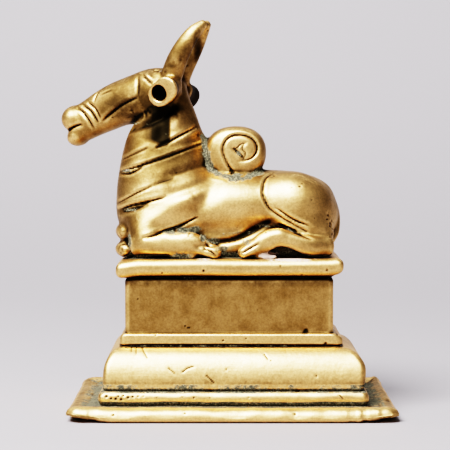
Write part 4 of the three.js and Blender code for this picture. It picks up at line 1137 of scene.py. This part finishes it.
# Rubbed places, most of them painted highlights on the flank, the haunch and the shoulder.
BULL_RUBBED_AND_HIGHLIT = [
    (1.8, 28.5, 7.0, 6.0, 0.75), (14.6, 16.6, 6.5, 5.5, 0.9), (0.4, 14.8, 8.0, 6.0, 1.0),
    (-14.0, 18.0, 8.0, 7.0, 0.5), (-43.0, 35.6, 3.4, 3.4, 0.25), (22.6, 15.6, 4.0, 6.0, 0.7),
    (-15.0, 4.6, 9.0, 2.2, 0.7), (14.0, 5.4, 9.0, 2.2, 0.7), (-33.0, 42.0, 6.0, 2.0, 0.5),
    (-12.6, 34.4, 3.0, 3.4, 0.5), (-24.6, 24.6, 3.4, 1.4, 0.4), (26.4, 9.0, 3.0, 6.0, 0.9),
    (-15.0, 10.4, 7.0, 3.4, 0.75), (-26.4, 17.0, 2.6, 4.0, 0.6),
]
# The slab's top keeps a strip of old polish along the legs.
SLAB_POLISH = [(-7.0, 0, 4.0, 1.0, 0.6), (14.0, 0, 7.0, 1.0, 0.7)]

# Painted shade under the jaw and down the throat, where the head's shadow falls: the line that each has for
# its edge, how far it reaches above and below the line (to the left and the right where it runs upwards), and
# how dark it is.
SHADES = [
    ([(-17.4, 26.8), (-16.4, 30.4), (-16.3, 33.6), (-16.2, 37.2), (-16.0, 41.0)], 7.6, 0.8, 1.3),
    ([(-26.4, 34.0), (-21.1, 36.2), (-17.1, 37.5), (-13.4, 39.2)], 1.2, 3.0, 0.92),
]
# Where packed dirt rings the foot of the hump.
SEAM = [
    (-6.9, 32.0), (-6.2, 28.0), (-5.2, 24.4), (-3.2, 22.2), (0.0, 21.2), (3.4, 21.0), (6.6, 21.9),
    (9.0, 23.4),
]

# How far the painted shade on the near ear's wall reaches and how dark it is, how strong the painted
# highlight on the ear's face and the painted shade on the far ear are, and how strong the rubbing of the
# plinth's base and slab edge is.
EAR_WALL_REACH = 1.6
EAR_WALL_SHADE = 0.7
EAR_FACE_HIGHLIGHT = 0.6
FAR_EAR_SHADE = 0.85
BASE_RUB = 0.8
SLAB_EDGE_RUB = 0.35


def shaded(points):
    """How much painted shade each point gets under the jaw and down the throat."""
    found = np.zeros(len(points))
    chosen = np.nonzero((abs(points[:, 0] + 20) < 12) & (abs(points[:, 2] - 34) < 12))[0]
    for path, above, below, dark in SHADES:
        signed, share = nearest_on(path, points[chosen][:, (0, 2)])
        reach = np.where(signed > 0, above, below)
        ends = ramp(share, 0.0, 0.3) * ramp(share, 1.0, 0.9)
        found[chosen] = np.maximum(found[chosen], np.exp(-(signed / reach) ** 2) * ends * dark)
    return found


def seam_dirt(points):
    """How much dirt lies round the foot of the hump; the band wavers and breaks up."""
    found = np.zeros(len(points))
    chosen = np.nonzero((abs(points[:, 0] - 1) < 11) & (abs(points[:, 2] - 26) < 9))[0]
    near = points[chosen]
    signed = nearest_on(SEAM, near[:, (0, 2)])[0]
    reach = 1.0 + 0.4 * waver(near, 1.4, 8)
    found[chosen] = np.exp(-(signed / reach) ** 2) * (0.9 + 0.35 * waver(near, 2.0, 9))
    return found


def ear_parts(points):
    """How far each point lies in the near ear's bored hole, on the face round it and on the cup's wall."""
    turn = head_turn() @ Matrix.Translation((0, HEAD_PIVOT.y, 0))
    base, rim = (np.array(turn @ end) for end in (EAR_BASE, EAR_RIM))
    axis = (rim - base) / np.linalg.norm(rim - base)
    along = (points - rim) @ axis
    off = np.linalg.norm(points - rim - along[:, None] * axis, axis=1)
    reach = EAR_RADIUS + EAR_LOBE
    hole = (off < EAR_HOLE_RADIUS + 0.1) * ramp(along, -0.15, -0.7) * (along > -EAR_HOLE_DEPTH - 1)
    face = (off > EAR_HOLE_RADIUS) * (off < reach) * ramp(along, -0.7, -0.2)
    wall = (off < reach + EAR_WALL_REACH) * ramp(along, -0.6, -1.6) * ramp(along, -6.0, -3.0)
    return hole, face, wall * (1 - hole)


def cast_piece(name, mesh, dark_marks_and_shade, dirt, polish, rubbed_and_highlit):
    """Paints the mesh with how hollow, dirty and worn it is, with painted shade laid into the hollow values
    and painted highlights into the worn ones, and makes it a piece of the scene.
    """
    points, normals = points_of(mesh), points_of(mesh, "normal")
    close = metal_near(close_metal, points + normals * NEAR_LOOK)
    wide = metal_near(wide_metal, points + normals * WIDE_LOOK)
    curve = bent(mesh, 6)
    # Places with much metal close round them and sunk places darken, and so do the marks and painted shade
    # passed in.
    hollow_and_shade = (ramp(wide, 0.40, 0.66) * 0.7 + ramp(close, 0.36, 0.62) * 0.5
              + ramp(curve, 0.01, 0.09) * 0.35 + dark_marks_and_shade)
    grime = dirt + ramp(wide, 0.52, 0.74) * 0.5 + ramp(close, 0.5, 0.74) * 0.4 + dark_marks_and_shade * 0.15
    paint(mesh, "hollow_and_shade", hollow_and_shade)
    paint(mesh, "grime", grime)
    # Sharp edges and open places count as worn; the rubbing passed in brings painted highlights with it.
    paint(mesh, "worn_and_highlit", ramp(-curve, 0.01, 0.08) * 0.7 + ramp(close, 0.24, 0.1) * 0.5 + rubbed_and_highlit)
    paint(mesh, "polish", polish)
    mesh.transform(Matrix.Scale(MM, 4))
    mesh.materials.append(brass)
    mesh.shade_smooth()
    piece = bpy.data.objects.new(name, mesh)
    bpy.context.scene.collection.objects.link(piece)
    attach(piece, "root")
    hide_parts(NODE)
    print(name, "triangles", sum(len(p.vertices) - 2 for p in mesh.polygons))


x, y, z = bull_xyz.T
near_side = ramp(y, 6.0, 0.0)
hole, face, wall = ear_parts(bull_xyz)
# The far ear, the ear's bored hole and the cup's wall are painted dark as shade, and so are the jaw and
# throat; the face round the hole is cleared of film.
far_ear = FAR_EAR_SHADE * ramp(y, 2.2, 3.4) * ramp(z, 36.0, 38.0) * ramp(z, 49.0, 47.0) * (x > -18)
film_and_shade = np.maximum(chased * 1.2, np.maximum(patches(bull_xyz, BULL_FILM_AND_SHADE), shaded(bull_xyz)) * near_side)
film_and_shade = np.maximum.reduce([film_and_shade * (1 - 0.9 * face), hole, wall * EAR_WALL_SHADE, far_ear])
dirt = np.maximum(patches(bull_xyz, BULL_DIRT) * near_side, seam_dirt(bull_xyz))
polish = patches(bull_xyz, BULL_POLISH) * near_side
# Rubbing, most of it painted highlights, and a painted highlight on the face round the ear's hole.
rubbed_and_highlit = np.maximum(patches(bull_xyz, BULL_RUBBED_AND_HIGHLIT), face * EAR_FACE_HIGHLIGHT)
cast_piece("cast_bull", bull, film_and_shade, dirt, polish, rubbed_and_highlit)

z = plinth_xyz[:, 2]
polish = (z > SLAB_TOP - 0.7) * patches(plinth_xyz * (1, 1, 0), SLAB_POLISH)
rubbed_and_highlit = ramp(z, DIE_FOOT + 0.2, DIE_FOOT - 0.8) + SLAB_EDGE_RUB * ramp(z, DIE_TOP, SLAB_FOOT)
cast_piece("cast_plinth", plinth, plinth_marks_and_shade, plinth_dirt, polish, rubbed_and_highlit * BASE_RUB)

# The studio.
# A paper sweep that rises behind the figure, with a large soft light up on the left and a long one behind the
# figure for the sweep. The camera looks square at the bull's left side from half a metre away.
SWEEP_COLOUR = "#8E8A8E"
PAPER_FIBRE = 1.5
SWEEP_HALF_WIDTH = 2.0
SWEEP_HEIGHT = 2.5
SWEEP_BEND = 1.2
SWEEP_FORWARD = 0.5
AIR_COLOUR = "#C9CACF"
AIR_STRENGTH = 0.16
CAMERA_PLACE = Vector((-2.2, -464.0, 74.4))
CAMERA_PITCH_DEGREES = 3.13
CAMERA_LENS = 138.0


def studio_paper():
    """Matt grey paper, its tone wavering a little with its fibres; it gives the figure an even ground."""
    material = bpy.data.materials.new("matt_studio_paper")
    material.use_nodes = True
    tree = material.node_tree
    shader = tree.nodes["Principled BSDF"]
    shader.inputs["Roughness"].default_value = 0.9
    place = add(tree, "TexCoord", output="Object")
    fibre = add(tree, "TexNoise", {"Vector": place, "Scale": per_mm(PAPER_FIBRE), "Detail": 3.0})
    tone = add(tree, "MapRange", {"Value": fibre, "To Min": 0.97, "To Max": 1.03})
    colour = add(tree, "VectorMath", {0: linear(SWEEP_COLOUR)[:3], 1: tone}, operation="MULTIPLY")
    tree.links.new(colour, shader.inputs["Base Color"])
    return material


sweep = bmesh.new()
bmesh.ops.create_grid(sweep, x_segments=1, y_segments=1, size=SWEEP_HALF_WIDTH)
back = next(e for e in sweep.edges if all(v.co.y > 1 for v in e.verts))
risen = bmesh.ops.extrude_edge_only(sweep, edges=[back])["geom"]
risen = [item for item in risen if isinstance(item, bmesh.types.BMVert)]
bmesh.ops.translate(sweep, vec=(0, 0, SWEEP_HEIGHT), verts=risen)
bmesh.ops.bevel(sweep, geom=[back], affect="EDGES", offset=SWEEP_BEND, segments=24, profile=0.5, material=-1)
bmesh.ops.translate(sweep, vec=(0, -SWEEP_FORWARD, 0), verts=sweep.verts)
sweep_mesh = bpy.data.meshes.new("studio_sweep")
sweep.to_mesh(sweep_mesh)
sweep.free()
sweep_mesh.materials.append(studio_paper())
sweep_mesh.shade_smooth()
floor = bpy.data.objects.new("studio_sweep", sweep_mesh)
bpy.context.scene.collection.objects.link(floor)

# Each light's name, its compass angle from straight in front, its height angle, how far off it stands, its
# size, its power and the place that it looks at, in degrees, metres and watts.
LIGHTS = [
    ("key", -32, 50, 0.8, (0.56, 0.4), 25.0, (0, 0, 0.05)),
    ("backdrop", -6, 43, 1.15, (1.4, 0.3), 15.5, (0, 1.42, 0.05)),
]
for name, turn, rise, away, size, watts, target in LIGHTS:
    data = bpy.data.lights.new(name, "AREA")
    data.shape = "RECTANGLE"
    data.size, data.size_y = size
    data.energy = watts
    lamp = bpy.data.objects.new(name, data)
    turn, rise = math.radians(turn), math.radians(rise)
    aim = Vector((math.sin(turn) * math.cos(rise), -math.cos(turn) * math.cos(rise), math.sin(rise)))
    lamp.location = Vector(target) + aim * away
    lamp.rotation_euler = aim.to_track_quat("Z", "Y").to_euler()
    bpy.context.scene.collection.objects.link(lamp)

world = bpy.data.worlds.new("studio_air")
world.use_nodes = True
air = world.node_tree.nodes["Background"].inputs
air["Color"].default_value = linear(AIR_COLOUR)
air["Strength"].default_value = AIR_STRENGTH
bpy.context.scene.world = world

camera_data = bpy.data.cameras.new("camera")
camera_data.lens = CAMERA_LENS
camera_data.sensor_width = 36.0
camera_data.clip_start = 0.01
camera = bpy.data.objects.new("camera", camera_data)
camera.location = CAMERA_PLACE * MM
camera.rotation_euler = (math.radians(90 - CAMERA_PITCH_DEGREES), 0, 0)
bpy.context.scene.collection.objects.link(camera)
bpy.context.scene.camera = camera
bpy.context.scene.view_settings.view_transform = "Filmic"
bpy.context.scene.view_settings.look = "Very High Contrast"
